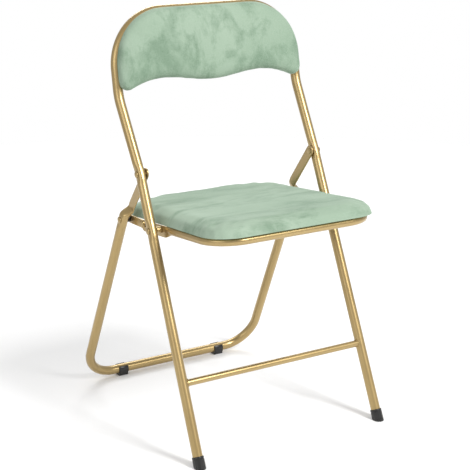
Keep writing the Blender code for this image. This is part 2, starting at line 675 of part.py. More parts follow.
def fasten_pad(prefix, tabs, tube_cutter, bottom, board, cover, finishes, holder):
    """Tabs and screws. Each tab is a name, its middle, its size and its screw's place."""
    gold, steel = finishes
    tab_top = bottom - GAP
    tab_bottom = tab_top - TAB_THICKNESS
    tip = bottom + COVER_THICKNESS + GAP + SCREW_DEPTH
    places = [screw for _, _, _, screw in tabs]
    through = screw_holes_cutter(prefix + "_screw_holes", places, tab_bottom - 0.005, tip + GAP, holder)
    cut(board, through)
    cut(cover, through)
    for word, (x, y), (width, height), screw in tabs:
        make_tab(prefix + "_tab_" + word, (x, y, (tab_top + tab_bottom) / 2), (width, height, TAB_THICKNESS),
                 tube_cutter, through, gold, holder)
        make_screw(prefix + "_screw_" + word, screw, tab_bottom, tip, steel, holder)


def make_seat(finishes, empty):
    gold, steel, velvet, wood, cloth = finishes

    def holder(piece):
        piece.parent = empty

    board, cover = make_pad("seat", seat_outline, SEAT_PAD_BOTTOM, SEAT_PAD_THICKNESS, SEAT_BOARD_THICKNESS,
                            SEAT_BOARD_INSET, (velvet, wood, cloth), holder)
    tubes = bmesh.new()
    for side in (-1, 1):
        x = side * SEAT_TUBE_HALF_WIDTH
        rod_mesh(tubes, (x, -SEAT_TUBE_REACH, 0), (x, 0, 0), SEAT_TUBE_RADIUS + GAP, 32)
    tube_cutter = cutter("seat_tab_ends", tubes)
    holder(tube_cutter)
    tabs = []
    for word, side in (("left", -1), ("right", 1)):
        for row, y in zip(("front", "rear"), SEAT_TAB_PLACES):
            middle = side * (SEAT_TUBE_HALF_WIDTH - TAB_REACH / 2)
            screw = (side * (SEAT_TUBE_HALF_WIDTH - SCREW_REACH), y)
            tabs.append((f"{row}_{word}", (middle, y), (TAB_REACH, TAB_WIDTH), screw))
    fasten_pad("seat", tabs, tube_cutter, SEAT_PAD_BOTTOM, board, cover, (gold, steel), holder)


def make_back(finishes):
    gold, steel, velvet, wood, cloth = finishes

    def holder(piece):
        piece.matrix_world = BACK_MATRIX

    board, cover = make_pad("backrest", back_outline, BACK_PAD_BACK, BACK_PAD_THICKNESS, BACK_BOARD_THICKNESS,
                            BACK_BOARD_INSET, (velvet, wood, cloth), holder)
    top = up_the_back(BACK_HEIGHT - TUBE_RADIUS)
    low = up_the_back(BACK_SIDE_TAB_HEIGHT)
    tubes = bmesh.new()
    for side in (-1, 1):
        x = side * BACK_HALF_WIDTH
        rod_mesh(tubes, (x, low - TAB_WIDTH, 0), (x, low + TAB_WIDTH, 0), TUBE_RADIUS + GAP, 32)
    rod_mesh(tubes, (-BACK_HALF_WIDTH / 2, top, 0), (BACK_HALF_WIDTH / 2, top, 0), TUBE_RADIUS + GAP, 32)
    tube_cutter = cutter("backrest_tab_ends", tubes)
    holder(tube_cutter)
    tabs = []
    for word, side in (("left", -1), ("right", 1)):
        tabs.append(("side_" + word, (side * (BACK_HALF_WIDTH - TAB_REACH / 2), low), (TAB_REACH, TAB_WIDTH),
                     (side * (BACK_HALF_WIDTH - SCREW_REACH), low)))
        tabs.append(("top_" + word, (side * BACK_TOP_TAB_X, top - TAB_REACH / 2), (TAB_WIDTH, TAB_REACH),
                     (side * BACK_TOP_TAB_X, top - SCREW_REACH)))
    fasten_pad("backrest", tabs, tube_cutter, BACK_PAD_BACK, board, cover, (gold, steel), holder)


# ---------------------------------------------------------------- feet
def make_front_caps(black):
    """Cups over the front legs' ends, cut level with the floor."""
    for word, side in (("left", -1), ("right", 1)):
        foot = mirrored((FRONT_FOOT_HALF_WIDTH, FEET_Y, 0), side)
        up_leg = (mirrored((PIVOT_HALF_WIDTH, *PIVOT_A), side) - foot).normalized()
        tube_end = CAP_FLOOR / up_leg.z - GAP
        bore = TUBE_RADIUS + GAP
        profile = [(0, -0.010), (CAP_RADIUS, -0.010), (CAP_RADIUS, CAP_LENGTH - 0.001),
                   (CAP_RADIUS - 0.0008, CAP_LENGTH), (bore, CAP_LENGTH), (bore, tube_end), (0, tube_end)]
        builder = turned_mesh(profile, 24)
        turn = up_leg.to_track_quat("Z", "Y").to_matrix().to_4x4()
        bmesh.ops.transform(builder, matrix=Matrix.Translation(foot) @ turn, verts=builder.verts[:])
        geometry = builder.verts[:] + builder.edges[:] + builder.faces[:]
        cut_edges = bmesh.ops.bisect_plane(builder, geom=geometry, plane_co=(0, 0, 0), plane_no=(0, 0, -1),
                                           clear_outer=True)["geom_cut"]
        rim = [e for e in cut_edges if isinstance(e, bmesh.types.BMEdge)]
        bmesh.ops.contextual_create(builder, geom=rim)
        new_object("front_foot_cap_" + word, builder, black)


def glide_outline():
    """Section of a saddle round the floor bar, as (y, z) points about the bar's axis."""
    inner = TUBE_RADIUS + GAP
    outer = inner + GLIDE_WALL
    lip = math.pi / 2 - GLIDE_MOUTH / 2
    shoulder = math.radians(-25)
    steps = 5
    right = []
    for i in range(steps + 1):
        angle = lip + (shoulder - lip) * i / steps
        right.append((outer * math.cos(angle), outer * math.sin(angle)))
    right.append((GLIDE_BASE_HALF_WIDTH, -REAR_BAR[1]))
    outside = right + [(-y, z) for y, z in right[::-1]]
    inside = []
    for i in range(17):
        angle = math.pi - lip + (math.pi + 2 * lip) * i / 16
        inside.append((inner * math.cos(angle), inner * math.sin(angle)))
    return outside + inside


def make_rear_glides(black, pivot_empty):
    stand = Matrix(((0, 0, 1), (1, 0, 0), (0, 1, 0))).to_4x4()
    for word, side in (("left", -1), ("right", 1)):
        builder = flat_plate_mesh(glide_outline(), -GLIDE_WIDTH / 2, GLIDE_WIDTH / 2)
        glide = new_object("rear_foot_glide_" + word, builder, black)
        glide.matrix_world = Matrix.Translation((side * GLIDE_OFFSET, *REAR_BAR)) @ stand
        hang(glide, pivot_empty)


# ---------------------------------------------------------------- assembly
def pivot_empty(name, place):
    """An empty on a pivot's axis, whose children turn with it."""
    empty = bpy.data.objects.new(name, None)
    empty.matrix_world = place
    bpy.context.scene.collection.objects.link(empty)
    return empty


def hang(piece, empty):
    """Parent a piece that is already in place to an empty, without moving it."""
    piece.parent = empty
    piece.matrix_parent_inverse = empty.matrix_world.inverted()


def main():
    for old in list(bpy.data.objects):
        bpy.data.objects.remove(old, do_unlink=True)

    gold = material("painted_gold", (0.56, 0.40, 0.17), 0.32, 0.85)
    steel = material("zinc_steel", (0.60, 0.60, 0.58), 0.35, 1.0)
    black = material("black_plastic", (0.015, 0.015, 0.016), 0.35)
    velvet = material("sage_velvet", (0.35, 0.50, 0.38), 0.85)
    wood = material("plywood", (0.62, 0.46, 0.28), 0.7)
    cloth = material("black_backing_cloth", (0.03, 0.03, 0.03), 0.95)

    empties = {
        "rear": pivot_empty("rear_frame_pivot", Matrix.Translation((0, *PIVOT_A))),
        "seat": pivot_empty("seat_pivot", SEAT_MATRIX),
        "link": pivot_empty("link_pivot", Matrix.Translation((0, *PIVOT_C))),
    }
    make_front_frame(gold)
    make_stretcher(gold)
    make_rear_frame(gold, empties["rear"])
    make_seat_frame(gold, empties["seat"])
    make_pivots(gold, black, empties)
    make_seat((gold, steel, velvet, wood, cloth), empties["seat"])
    make_back((gold, steel, velvet, wood, cloth))
    make_front_caps(black)
    make_rear_glides(black, empties["rear"])


main()
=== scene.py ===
# %% [markdown]
# A folding chair: painted steel tube, a velvet seat and back, and black plastic feet.
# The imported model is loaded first. It holds the sizes, the pivots and everything that moves, and this
# script dresses it: finer tubes, upholstered pads, rivets, feet and the finish of each surface.

# %% Load the frame
import json
import math

import bmesh
import bpy
from mathutils import Matrix, Vector, noise


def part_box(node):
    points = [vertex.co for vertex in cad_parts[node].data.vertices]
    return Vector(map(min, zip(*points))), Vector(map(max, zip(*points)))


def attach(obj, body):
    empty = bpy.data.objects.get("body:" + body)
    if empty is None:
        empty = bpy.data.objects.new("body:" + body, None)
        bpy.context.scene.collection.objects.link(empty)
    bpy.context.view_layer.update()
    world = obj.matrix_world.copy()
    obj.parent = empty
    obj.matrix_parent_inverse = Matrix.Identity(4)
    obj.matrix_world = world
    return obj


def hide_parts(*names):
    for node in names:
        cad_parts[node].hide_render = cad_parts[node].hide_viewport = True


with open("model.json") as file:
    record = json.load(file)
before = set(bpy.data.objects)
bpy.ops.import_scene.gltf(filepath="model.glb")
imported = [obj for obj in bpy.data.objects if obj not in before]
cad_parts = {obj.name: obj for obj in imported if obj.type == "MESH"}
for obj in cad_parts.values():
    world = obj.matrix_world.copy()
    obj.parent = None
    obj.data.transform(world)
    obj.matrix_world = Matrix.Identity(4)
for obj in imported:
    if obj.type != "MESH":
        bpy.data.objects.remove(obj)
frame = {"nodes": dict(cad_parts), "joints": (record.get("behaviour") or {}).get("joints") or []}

nodes = frame["nodes"]
scene = bpy.context.scene
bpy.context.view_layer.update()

# %% [markdown]
# ## Camera
# A long lens from the front left, a little above the seat. A long lens keeps the legs nearly parallel,
# as in a catalogue picture. The camera stands on a circle round a point under the seat, so its place is
# an azimuth, an elevation and a distance. The small shift moves the frame, not the perspective.

# %% Camera
AIM = Vector((0, -0.0328, 0.3974))
AZIMUTH = math.radians(-31.80)
ELEVATION = math.radians(15.37)
DISTANCE = 2.570
FOCAL_LENGTH = 101.5
SHIFT = (-0.0051, -0.0384)


def add_camera(aim, azimuth, elevation, distance):
    back = Vector((math.sin(azimuth) * math.cos(elevation), -math.cos(azimuth) * math.cos(elevation),
                   math.sin(elevation)))
    data = bpy.data.cameras.new("camera")
    data.lens = FOCAL_LENGTH
    data.sensor_width = 36
    data.shift_x, data.shift_y = SHIFT
    camera = bpy.data.objects.new("camera", data)
    camera.location = aim + back * distance
    camera.rotation_euler = back.to_track_quat("Z", "Y").to_euler()
    scene.collection.objects.link(camera)
    scene.camera = camera
    return camera


camera = add_camera(AIM, AZIMUTH, ELEVATION, DISTANCE)
print("camera at", [round(v, 3) for v in camera.location])

# %% [markdown]
# ## Places read from the frame
# The three joints give pivots A, B and C, and boxes give the links' and the rear feet's places. The other
# sizes, such as a tube's radius, can't be read from a box, so they are named here as in the model.

# %% Pivots and sizes
joints = {joint["name"]: joint for joint in frame["joints"]}


def side_point(name):
    """The (y, z) place of a joint's axis."""
    return tuple(joints[name]["pos_m"][1:])


PIVOT_A = side_point("rear_fold")
PIVOT_B = side_point("seat_fold")
PIVOT_C = side_point("link_fold")
TUBE_RADIUS = 0.0095
SEAT_TUBE_RADIUS = 0.0080
SEAT_TILT = math.radians(5.2)
BACK_LEAN = math.radians(9.5)
SEAT_MATRIX = Matrix.Translation((0, *PIVOT_B)) @ Matrix.Rotation(-SEAT_TILT, 4, "X")
PIVOT_D_ON_SEAT = (0.0656, 0.0020)
PIVOT_D = tuple((SEAT_MATRIX @ Vector((0, *PIVOT_D_ON_SEAT)))[1:])
FOOT_HALF_WIDTH = 0.2033
KNEE_HALF_WIDTH = 0.1971
HOOP_HALF_WIDTH = 0.2003
TOP = 0.800
PIVOT_A_SETBACK = 0.2229
FRONT_LEAN = math.atan2(PIVOT_A_SETBACK, PIVOT_A[1])
FEET_Y = PIVOT_A[0] - PIVOT_A_SETBACK
SHOULDER = (FEET_Y + 0.2984, 0.6358)
REAR_BAR = (FEET_Y + 0.4784, 0.0139)
REAR_BEND = (FEET_Y + 0.2823, 0.4272)
GAP = 0.0003
print("pivots", [tuple(round(v, 4) for v in p) for p in (PIVOT_A, PIVOT_B, PIVOT_C, PIVOT_D)])

# %% [markdown]
# ## Helpers for meshes
# A bmesh is a mesh under construction. Every piece ends in `finish_piece`, which turns the bmesh into an
# object, gives it a material and hangs it on the body that it moves with. The object stays at the origin
# and the place is in the mesh, so a pattern on object coordinates stays where it belongs.

# %% Finishing a piece
def finish_piece(name, builder, finish, body, replaced=(), angle=35):
    mesh = bpy.data.meshes.new(name)
    builder.to_mesh(mesh)
    builder.free()
    mesh.shade_smooth()
    mesh.set_sharp_from_angle(angle=math.radians(angle))
    piece = bpy.data.objects.new(name, mesh)
    scene.collection.objects.link(piece)
    mesh.materials.append(finish)
    dress(piece, body, replaced)
    return piece


def dress(piece, body, replaced=()):
    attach(piece, body)
    if replaced:
        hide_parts(*replaced)
    print(piece.name, len(piece.data.polygons), "faces on", body)


# %% Rounded paths
def rounded_path(points, radii, steps):
    """Replace each inner corner of a polyline by an arc."""
    points = [Vector(p) for p in points]
    path = [points[0]]
    for i in range(1, len(points) - 1):
        corner = points[i]
        back = (points[i - 1] - corner).normalized()
        ahead = (points[i + 1] - corner).normalized()
        half = back.angle(ahead) / 2
        middle = corner + (back + ahead).normalized() * radii[i - 1] / math.sin(half)
        start = corner + back * radii[i - 1] / math.tan(half) - middle
        axis = start.cross(corner + ahead * radii[i - 1] / math.tan(half) - middle).normalized()
        for step in range(steps[i - 1] + 1):
            turn = (math.pi - 2 * half) * step / steps[i - 1]
            path.append(middle + Matrix.Rotation(turn, 3, axis) @ start)
    return path + [points[-1]]


# %% [markdown]
# ## Bent tube
# A real tube is drawn, cut and bent, and where it is riveted it is pressed flatter. A curve with a bevel
# can't change its section along the way, so the tube is swept: one circle at each station, squeezed to
# that station's section, and `bridge_loops` joins each circle to the next.

# %% Sweep a tube
TUBE_SIDES = 40


def squared(value, power):
    """Cosine or sine pushed towards a flat-sided oval as power falls below 1."""
    return math.copysign(abs(value) ** power, value)


def ring(builder, place, half_x, half_y, power, sides):
    """One closed loop: a circle that is squeezed into an oval and put in its place."""
    made = bmesh.ops.create_circle(builder, segments=sides, radius=1)["verts"]
    for vert in made:
        vert.co = place @ Vector((squared(vert.co.x, power) * half_x, squared(vert.co.y, power) * half_y, 0))
    return list({edge for vert in made for edge in vert.link_edges})


def sweep(builder, sections, across=Vector((1, 0, 0)), closed=False, sides=TUBE_SIDES):
    """Sections are (point, half size, half size across, power). Returns the two end loops."""
    loops = []
    count = len(sections)
    for i, (point, half_x, half_y, power) in enumerate(sections):
        before = sections[i - 1][0] if closed else sections[max(i - 1, 0)][0]
        after = sections[(i + 1) % count][0] if closed else sections[min(i + 1, count - 1)][0]
        along = (after - before).normalized()
        across = (across - along * across.dot(along)).normalized()
        turn = Matrix((across, along.cross(across), along)).transposed().to_4x4()
        loops.append(ring(builder, Matrix.Translation(point) @ turn, half_x, half_y, power, sides))
    pairs = list(zip(loops, loops[1:])) + ([(loops[-1], loops[0])] if closed else [])
    for one, other in pairs:
        bmesh.ops.bridge_loops(builder, edges=one + other)
    return loops[0], loops[-1]


def mirror_half(builder):
    """Complete a half that ends on the middle plane, x = 0."""
    geometry = builder.verts[:] + builder.edges[:] + builder.faces[:]
    bmesh.ops.mirror(builder, geom=geometry, matrix=Matrix.Identity(4), merge_dist=0.00001, axis="X")
    bmesh.ops.remove_doubles(builder, verts=builder.verts[:], dist=0.00001)
    bmesh.ops.recalc_face_normals(builder, faces=builder.faces[:])


def round_at(point, radius=TUBE_RADIUS):
    return point, radius, radius, 1.0

# %% [markdown]
# ## Finishes
# Five finishes cover the chair: champagne gold paint, black plastic, zinc plate, velvet and plain black
# cloth, with raw plywood behind the pads. What more than one of them needs, such as a fine mottle or a
# thread pattern, is a node group that is built once and placed in each material with its own values.

# %% Node helpers
def new_group(name, inputs, outputs):
    """An empty node group; inputs are (name, kind, default) and outputs (name, kind)."""
    group = bpy.data.node_groups.new(name, "ShaderNodeTree")
    for label, kind, default in inputs:
        socket = group.interface.new_socket(name=label, in_out="INPUT", socket_type="NodeSocket" + kind)
        socket.default_value = default
    for label, kind in outputs:
        group.interface.new_socket(name=label, in_out="OUTPUT", socket_type="NodeSocket" + kind)
    return group, group.nodes.new("NodeGroupInput"), group.nodes.new("NodeGroupOutput")


def add(tree, kind, settings=None, links=None):
    """Add a node, set its sockets and properties, and link other nodes' outputs into it."""
    node = tree.nodes.new("ShaderNode" + kind)
    for key, value in (settings or {}).items():
        if isinstance(key, str) and hasattr(node, key):
            setattr(node, key, value)
        else:
            node.inputs[key].default_value = value
    for key, source in (links or {}).items():
        tree.links.new(source, node.inputs[key])
    return node


def ramp(tree, source, low, high):
    """Stretch the part of a value between low and high to 0..1."""
    return add(tree, "MapRange", {"From Min": low, "From Max": high}, {"Value": source}).outputs["Result"]


def blend_colours(tree, share, first, second):
    """Mix two colours, each a fixed colour or another node's output."""
    mix = add(tree, "Mix", {"data_type": "RGBA"})
    tree.links.new(share, mix.inputs[0])
    for socket, value in ((mix.inputs[6], first), (mix.inputs[7], second)):
        if isinstance(value, tuple):
            socket.default_value = (*value, 1)
        else:
            tree.links.new(value, socket)
    return mix.outputs[2]


def finish_material(name, fixed):
    """A material with its Principled shader; fixed holds the values that are the same all over."""
    made = bpy.data.materials.new(name)
    made.use_nodes = True
    shader = made.node_tree.nodes["Principled BSDF"]
    for socket, value in fixed.items():
        shader.inputs[socket].default_value = value
    return made, made.node_tree, shader


def bump(tree, shader, height, strength, distance):
    node = add(tree, "Bump", {"Strength": strength, "Distance": distance}, {"Height": height})
    tree.links.new(node.outputs["Normal"], shader.inputs["Normal"])


# %% [markdown]
# ### Mottle
# No paint, plastic or plate is perfectly even. This group gives a soft uneven value between two limits,
# and a fine height for the skin of the finish: orange peel on paint, or the grain of a mould.

# %% Group: uneven skin
def make_skin_group():
    group, inside, outside = new_group(
        "uneven_skin",
        [("Patch Scale", "Float", 20.0), ("Low", "Float", 0.2), ("High", "Float", 0.4),
         ("Skin Scale", "Float", 600.0)],
        [("Value", "Float"), ("Height", "Float")])
    place = add(group, "TexCoord").outputs["Object"]
    patches = add(group, "TexNoise", {"Detail": 4.0, "Roughness": 0.6},
                  {"Vector": place, "Scale": inside.outputs["Patch Scale"]})
    value = add(group, "MapRange", {"From Min": 0.3, "From Max": 0.7},
                {"Value": patches.outputs["Fac"], "To Min": inside.outputs["Low"],
                 "To Max": inside.outputs["High"]})
    skin = add(group, "TexNoise", {"Detail": 2.0}, {"Vector": place, "Scale": inside.outputs["Skin Scale"]})
    group.links.new(value.outputs["Result"], outside.inputs["Value"])
    group.links.new(skin.outputs["Fac"], outside.inputs["Height"])
    return group


skin_group = make_skin_group()


def add_skin(tree, patch_scale, low, high, skin_scale):
    return add(tree, "Group", {"node_tree": skin_group, "Patch Scale": patch_scale, "Low": low, "High": high,
                               "Skin Scale": skin_scale})


print("group:", skin_group.name)


# %% Gold paint
def make_gold():
    """Metallic champagne paint: fine flakes in a warm binder, under a thin clear coat."""
    made, tree, shader = finish_material("champagne_gold_paint", {"Metallic": 0.80, "Coat Weight": 0.35,
                                                                  "Coat Roughness": 0.18})
    skin = add_skin(tree, 14, 0.28, 0.37, 420)
    tone = add_skin(tree, 5, 0.0, 1.0, 2600)
    flake = add(tree, "Mix", {"data_type": "FLOAT", 0: 0.35},
                {2: tone.outputs["Value"], 3: tone.outputs["Height"]}).outputs[0]
    colour = blend_colours(tree, flake, (0.385, 0.272, 0.112), (0.475, 0.348, 0.155))
    tree.links.new(colour, shader.inputs["Base Color"])
    tree.links.new(skin.outputs["Value"], shader.inputs["Roughness"])
    bump(tree, shader, skin.outputs["Height"], 0.12, 0.0004)
    return made


gold = make_gold()


# %% Black plastic
def make_black_plastic():
    """Moulded feet and spacers: glossy black, with the faint grain of the mould."""
    made, tree, shader = finish_material("black_moulded_plastic", {"Specular IOR Level": 0.5})
    skin = add_skin(tree, 60, 0.22, 0.42, 1500)
    colour = blend_colours(tree, skin.outputs["Height"], (0.006, 0.006, 0.006), (0.020, 0.019, 0.018))
    tree.links.new(colour, shader.inputs["Base Color"])
    tree.links.new(skin.outputs["Value"], shader.inputs["Roughness"])
    bump(tree, shader, skin.outputs["Height"], 0.15, 0.0002)
    return made


black = make_black_plastic()


# %% Zinc plate
def make_zinc():
    """The screws and staples: bright zinc, with the cloudy spangle of the bath."""
    made, tree, shader = finish_material("bright_zinc_plate", {"Metallic": 1.0})
    skin = add_skin(tree, 400, 0.25, 0.45, 1800)
    colour = blend_colours(tree, skin.outputs["Height"], (0.52, 0.52, 0.50), (0.72, 0.72, 0.70))
    tree.links.new(colour, shader.inputs["Base Color"])
    tree.links.new(skin.outputs["Value"], shader.inputs["Roughness"])
    bump(tree, shader, skin.outputs["Height"], 0.1, 0.0002)
    return made


zinc = make_zinc()

# %% [markdown]
# ### Velvet
# Velvet is a forest of short cut fibres. Where a hand has brushed them they lean, and the lean shows as
# darker and lighter smudges with soft edges. The fibres also catch light where the surface turns away,
# which is the shader's sheen. The group makes the smudges: a broad cloud, stretched strokes that are
# bent by a second noise, and the fine fleck of the fibre tips.

# %% Group: brushed nap
def make_nap_group():
    group, inside, outside = new_group(
        "brushed_nap",
        [("Stroke", "Vector", (1, 1, 1)), ("Scale", "Float", 10.0), ("Fibre Scale", "Float", 1500.0)],
        [("Cloud", "Float"), ("Strokes", "Float"), ("Fibres", "Float")])
    place = add(group, "TexCoord").outputs["Object"]
    cloud = add(group, "TexNoise", {"Scale": 4.5, "Detail": 2.0, "Roughness": 0.5}, {"Vector": place})
    stretched = add(group, "VectorMath", {"operation": "MULTIPLY"},
                    {0: place, 1: inside.outputs["Stroke"]}).outputs[0]
    strokes = add(group, "TexNoise", {"Detail": 6.0, "Roughness": 0.70, "Distortion": 0.35},
                  {"Vector": stretched, "Scale": inside.outputs["Scale"]})
    fibres = add(group, "TexNoise", {"Detail": 2.0},
                 {"Vector": place, "Scale": inside.outputs["Fibre Scale"]})
    group.links.new(ramp(group, cloud.outputs["Fac"], 0.34, 0.66), outside.inputs["Cloud"])
    group.links.new(ramp(group, strokes.outputs["Fac"], 0.38, 0.64), outside.inputs["Strokes"])
    group.links.new(fibres.outputs["Fac"], outside.inputs["Fibres"])
    return group


nap_group = make_nap_group()
print("group:", nap_group.name)

SAGE_DARK = (0.070, 0.150, 0.082)
SAGE = (0.180, 0.275, 0.188)
SAGE_LIGHT = (0.300, 0.395, 0.300)
SAGE_TIPS = (0.400, 0.485, 0.395)


# %% Sage velvet
def make_velvet(name, stroke, scale):
    """The seat's strokes lie across it, where people sit; the back's are short and blotchy."""
    made, tree, shader = finish_material(
        name, {"Sheen Weight": 0.45, "Sheen Roughness": 0.35, "Sheen Tint": (0.85, 1.0, 0.88, 1),
               "Specular IOR Level": 0.12})
    nap = add(tree, "Group", {"node_tree": nap_group})
    nap.inputs["Stroke"].default_value = stroke
    nap.inputs["Scale"].default_value = scale
    broad = blend_colours(tree, nap.outputs["Cloud"], SAGE, SAGE_LIGHT)
    brushed = add(tree, "MapRange", {"From Min": 0.0, "From Max": 0.60, "To Min": 0.70, "To Max": 0.0},
                  {"Value": nap.outputs["Strokes"]}).outputs["Result"]
    smudged = blend_colours(tree, brushed, broad, SAGE_DARK)
    fleck = ramp(tree, nap.outputs["Fibres"], 0.35, 0.95)
    tree.links.new(blend_colours(tree, fleck, smudged, SAGE_TIPS), shader.inputs["Base Color"])
    rough = add(tree, "MapRange", {"To Min": 0.80, "To Max": 0.97}, {"Value": nap.outputs["Strokes"]})
    tree.links.new(rough.outputs["Result"], shader.inputs["Roughness"])
    lean = add(tree, "Mix", {"data_type": "FLOAT", 0: 0.3},
               {2: nap.outputs["Strokes"], 3: nap.outputs["Fibres"]}).outputs[0]
    bump(tree, shader, lean, 0.35, 0.0012)
    return made


seat_velvet = make_velvet("sage_velvet_seat", (0.8, 2.2, 1.0), 9.0)
back_velvet = make_velvet("sage_velvet_back", (1.5, 1.0, 1.0), 11.0)

# %% [markdown]
# ### Backing cloth and plywood
# The cover under each pad is a thin black cloth of pressed and woven fibre, and the boards are birch
# plywood. A weave is two sets of bands that cross; wood is one set of rings that noise has bent.

# %% Group: crossed threads
def make_weave_group():
    group, inside, outside = new_group("crossed_threads", [("Threads", "Float", 900.0)],
                                       [("Height", "Float")])
    place = add(group, "TexCoord").outputs["Object"]
    waves = []
    for direction in ("X", "Y"):
        wave = add(group, "TexWave", {"bands_direction": direction, "Distortion": 0.6, "Detail": 1.0},
                   {"Vector": place, "Scale": inside.outputs["Threads"]})
        waves.append(wave.outputs["Fac"])
    crossed = add(group, "Math", {"operation": "MAXIMUM"}, {0: waves[0], 1: waves[1]})
    group.links.new(crossed.outputs[0], outside.inputs["Height"])
    return group


weave_group = make_weave_group()


# %% Black backing cloth
def make_backing():
    made, tree, shader = finish_material("black_backing_cloth", {"Sheen Weight": 0.2, "Sheen Roughness": 0.5})
    weave = add(tree, "Group", {"node_tree": weave_group})
    weave.inputs["Threads"].default_value = 420.0
    skin = add_skin(tree, 30, 0.82, 0.96, 900)
    colour = blend_colours(tree, weave.outputs["Height"], (0.012, 0.012, 0.012), (0.040, 0.040, 0.042))
    tree.links.new(colour, shader.inputs["Base Color"])
    tree.links.new(skin.outputs["Value"], shader.inputs["Roughness"])
    bump(tree, shader, weave.outputs["Height"], 0.5, 0.0004)
    return made


backing = make_backing()


# %% Plywood
def make_plywood():
    made, tree, shader = finish_material("birch_plywood", {})
    place = add(tree, "TexCoord").outputs["Object"]
    along = add(tree, "Mapping", {"Scale": (3, 60, 60)}, {"Vector": place}).outputs["Vector"]
    grain = add(tree, "TexNoise", {"Scale": 4.0, "Detail": 6.0, "Distortion": 0.8}, {"Vector": along})
    skin = add_skin(tree, 25, 0.60, 0.80, 900)
    colour = blend_colours(tree, ramp(tree, grain.outputs["Fac"], 0.3, 0.7), (0.42, 0.27, 0.14),
                           (0.64, 0.47, 0.29))
    tree.links.new(colour, shader.inputs["Base Color"])
    tree.links.new(skin.outputs["Value"], shader.inputs["Roughness"])
    bump(tree, shader, grain.outputs["Fac"], 0.25, 0.0004)
    return made


plywood = make_plywood()
print("finishes:", [m.name for m in bpy.data.materials if m.use_nodes][-8:])

# %% [markdown]
# ## Front frame
# One tube makes both front legs and the hoop that carries the back. It goes up from the foot, bends back
# a little at pivot A, bends up again at the shoulder, and turns over at the top. Half of it is swept and
# then mirrored. Near each rivet the tube is pressed flatter, so that the parts lie against a flat.

# %% Front frame
FLAT_DEPTH = 0.0015
FLAT_LENGTH = 0.022
HOOP_RADIUS = 0.1055
SHOULDER_RADIUS = 0.090
LEG_START = 0.0088


def pressed(point, pivots):
    """Section of the frame tube, which is flatter near the pivots that it carries."""
    near = min((point - pivot).length for pivot in pivots)
    share = max(0, min(1, (FLAT_LENGTH - near) / (FLAT_LENGTH * 0.6)))
    share = share * share * (3 - 2 * share)
    return point, TUBE_RADIUS - FLAT_DEPTH * share, TUBE_RADIUS + FLAT_DEPTH * 0.5 * share, 1 - 0.25 * share


def leg_half_width(z):
    return FOOT_HALF_WIDTH + (KNEE_HALF_WIDTH - FOOT_HALF_WIDTH) * min(z / PIVOT_A[1], 1)


def stations_between(start, end, count):
    return [start + (end - start) * i / count for i in range(count)]


def make_front_frame():
    foot = Vector((-FOOT_HALF_WIDTH, FEET_Y, 0))
    knee = Vector((-KNEE_HALF_WIDTH, *PIVOT_A))
    up_leg = (knee - foot).normalized()
    seat_pivot = Vector((-leg_half_width(PIVOT_B[1]), *PIVOT_B))
    shoulder = Vector((-HOOP_HALF_WIDTH, *SHOULDER))
    top = TOP - TUBE_RADIUS
    top_y = SHOULDER[0] + (top - SHOULDER[1]) * math.tan(BACK_LEAN)
    path = stations_between(foot + up_leg * LEG_START, seat_pivot - up_leg * FLAT_LENGTH, 6)
    path += stations_between(seat_pivot - up_leg * FLAT_LENGTH, seat_pivot + up_leg * FLAT_LENGTH, 12)
    path += stations_between(seat_pivot + up_leg * FLAT_LENGTH, knee - up_leg * FLAT_LENGTH, 2)
    path += stations_between(knee - up_leg * FLAT_LENGTH, knee, 6)
    up_back = (shoulder - knee).normalized()
    path += stations_between(knee, knee + up_back * FLAT_LENGTH, 6)
    hoop = [knee + up_back * FLAT_LENGTH, shoulder, (-HOOP_HALF_WIDTH, top_y, top), (0, top_y, top)]
    path += rounded_path(hoop, [SHOULDER_RADIUS, HOOP_RADIUS], [10, 36])
    builder = bmesh.new()
    foot_loop, _ = sweep(builder, [pressed(point, (knee, seat_pivot)) for point in path])
    bmesh.ops.contextual_create(builder, geom=foot_loop)
    mirror_half(builder)
    finish_piece("front_frame_tube", builder, gold, "frame", ("front_frame",))


make_front_frame()

# %% [markdown]
# ## Rear frame
# The second tube is the rear legs and the bar on the floor. At pivot A and along its top the tube is
# squashed into a flat lug, which lies inside the front leg. The section goes from a flat oval to a round
# over a short length, as it does when a tube is squeezed in a press.

# %% Rear frame
REAR_FOOT_HALF_WIDTH = 0.2044
REAR_BEND_HALF_WIDTH = 0.1977
REAR_CORNER_RADIUS = 0.066
REAR_BEND_RADIUS = 0.050
LUG_HALF = 0.0016
REAR_LUG_HALF_HEIGHT = 0.0105
REAR_LUG_X = KNEE_HALF_WIDTH - TUBE_RADIUS - GAP - LUG_HALF
SQUASH_LENGTH = 0.018
LUG_POWER = 0.45


def eased(share):
    return share * share * (3 - 2 * share)


def lug(point, half_height):
    return point, LUG_HALF, half_height, LUG_POWER


def between(point, first, second, share):
    return point, *(a + (b - a) * eased(share) for a, b in zip(first[1:], second[1:]))


def lug_tip(end, ahead, radius):
    """Sections of a lug's round tip, outermost first."""
    turns = [math.radians(84 - 84 * i / 10) for i in range(10)]
    return [lug(end + ahead * radius * math.sin(turn), radius * math.cos(turn)) for turn in turns]


def rear_half_width(z):
    share = (z - REAR_BAR[1]) / (REAR_BEND[1] - REAR_BAR[1])
    return REAR_FOOT_HALF_WIDTH + (REAR_BEND_HALF_WIDTH - REAR_FOOT_HALF_WIDTH) * share


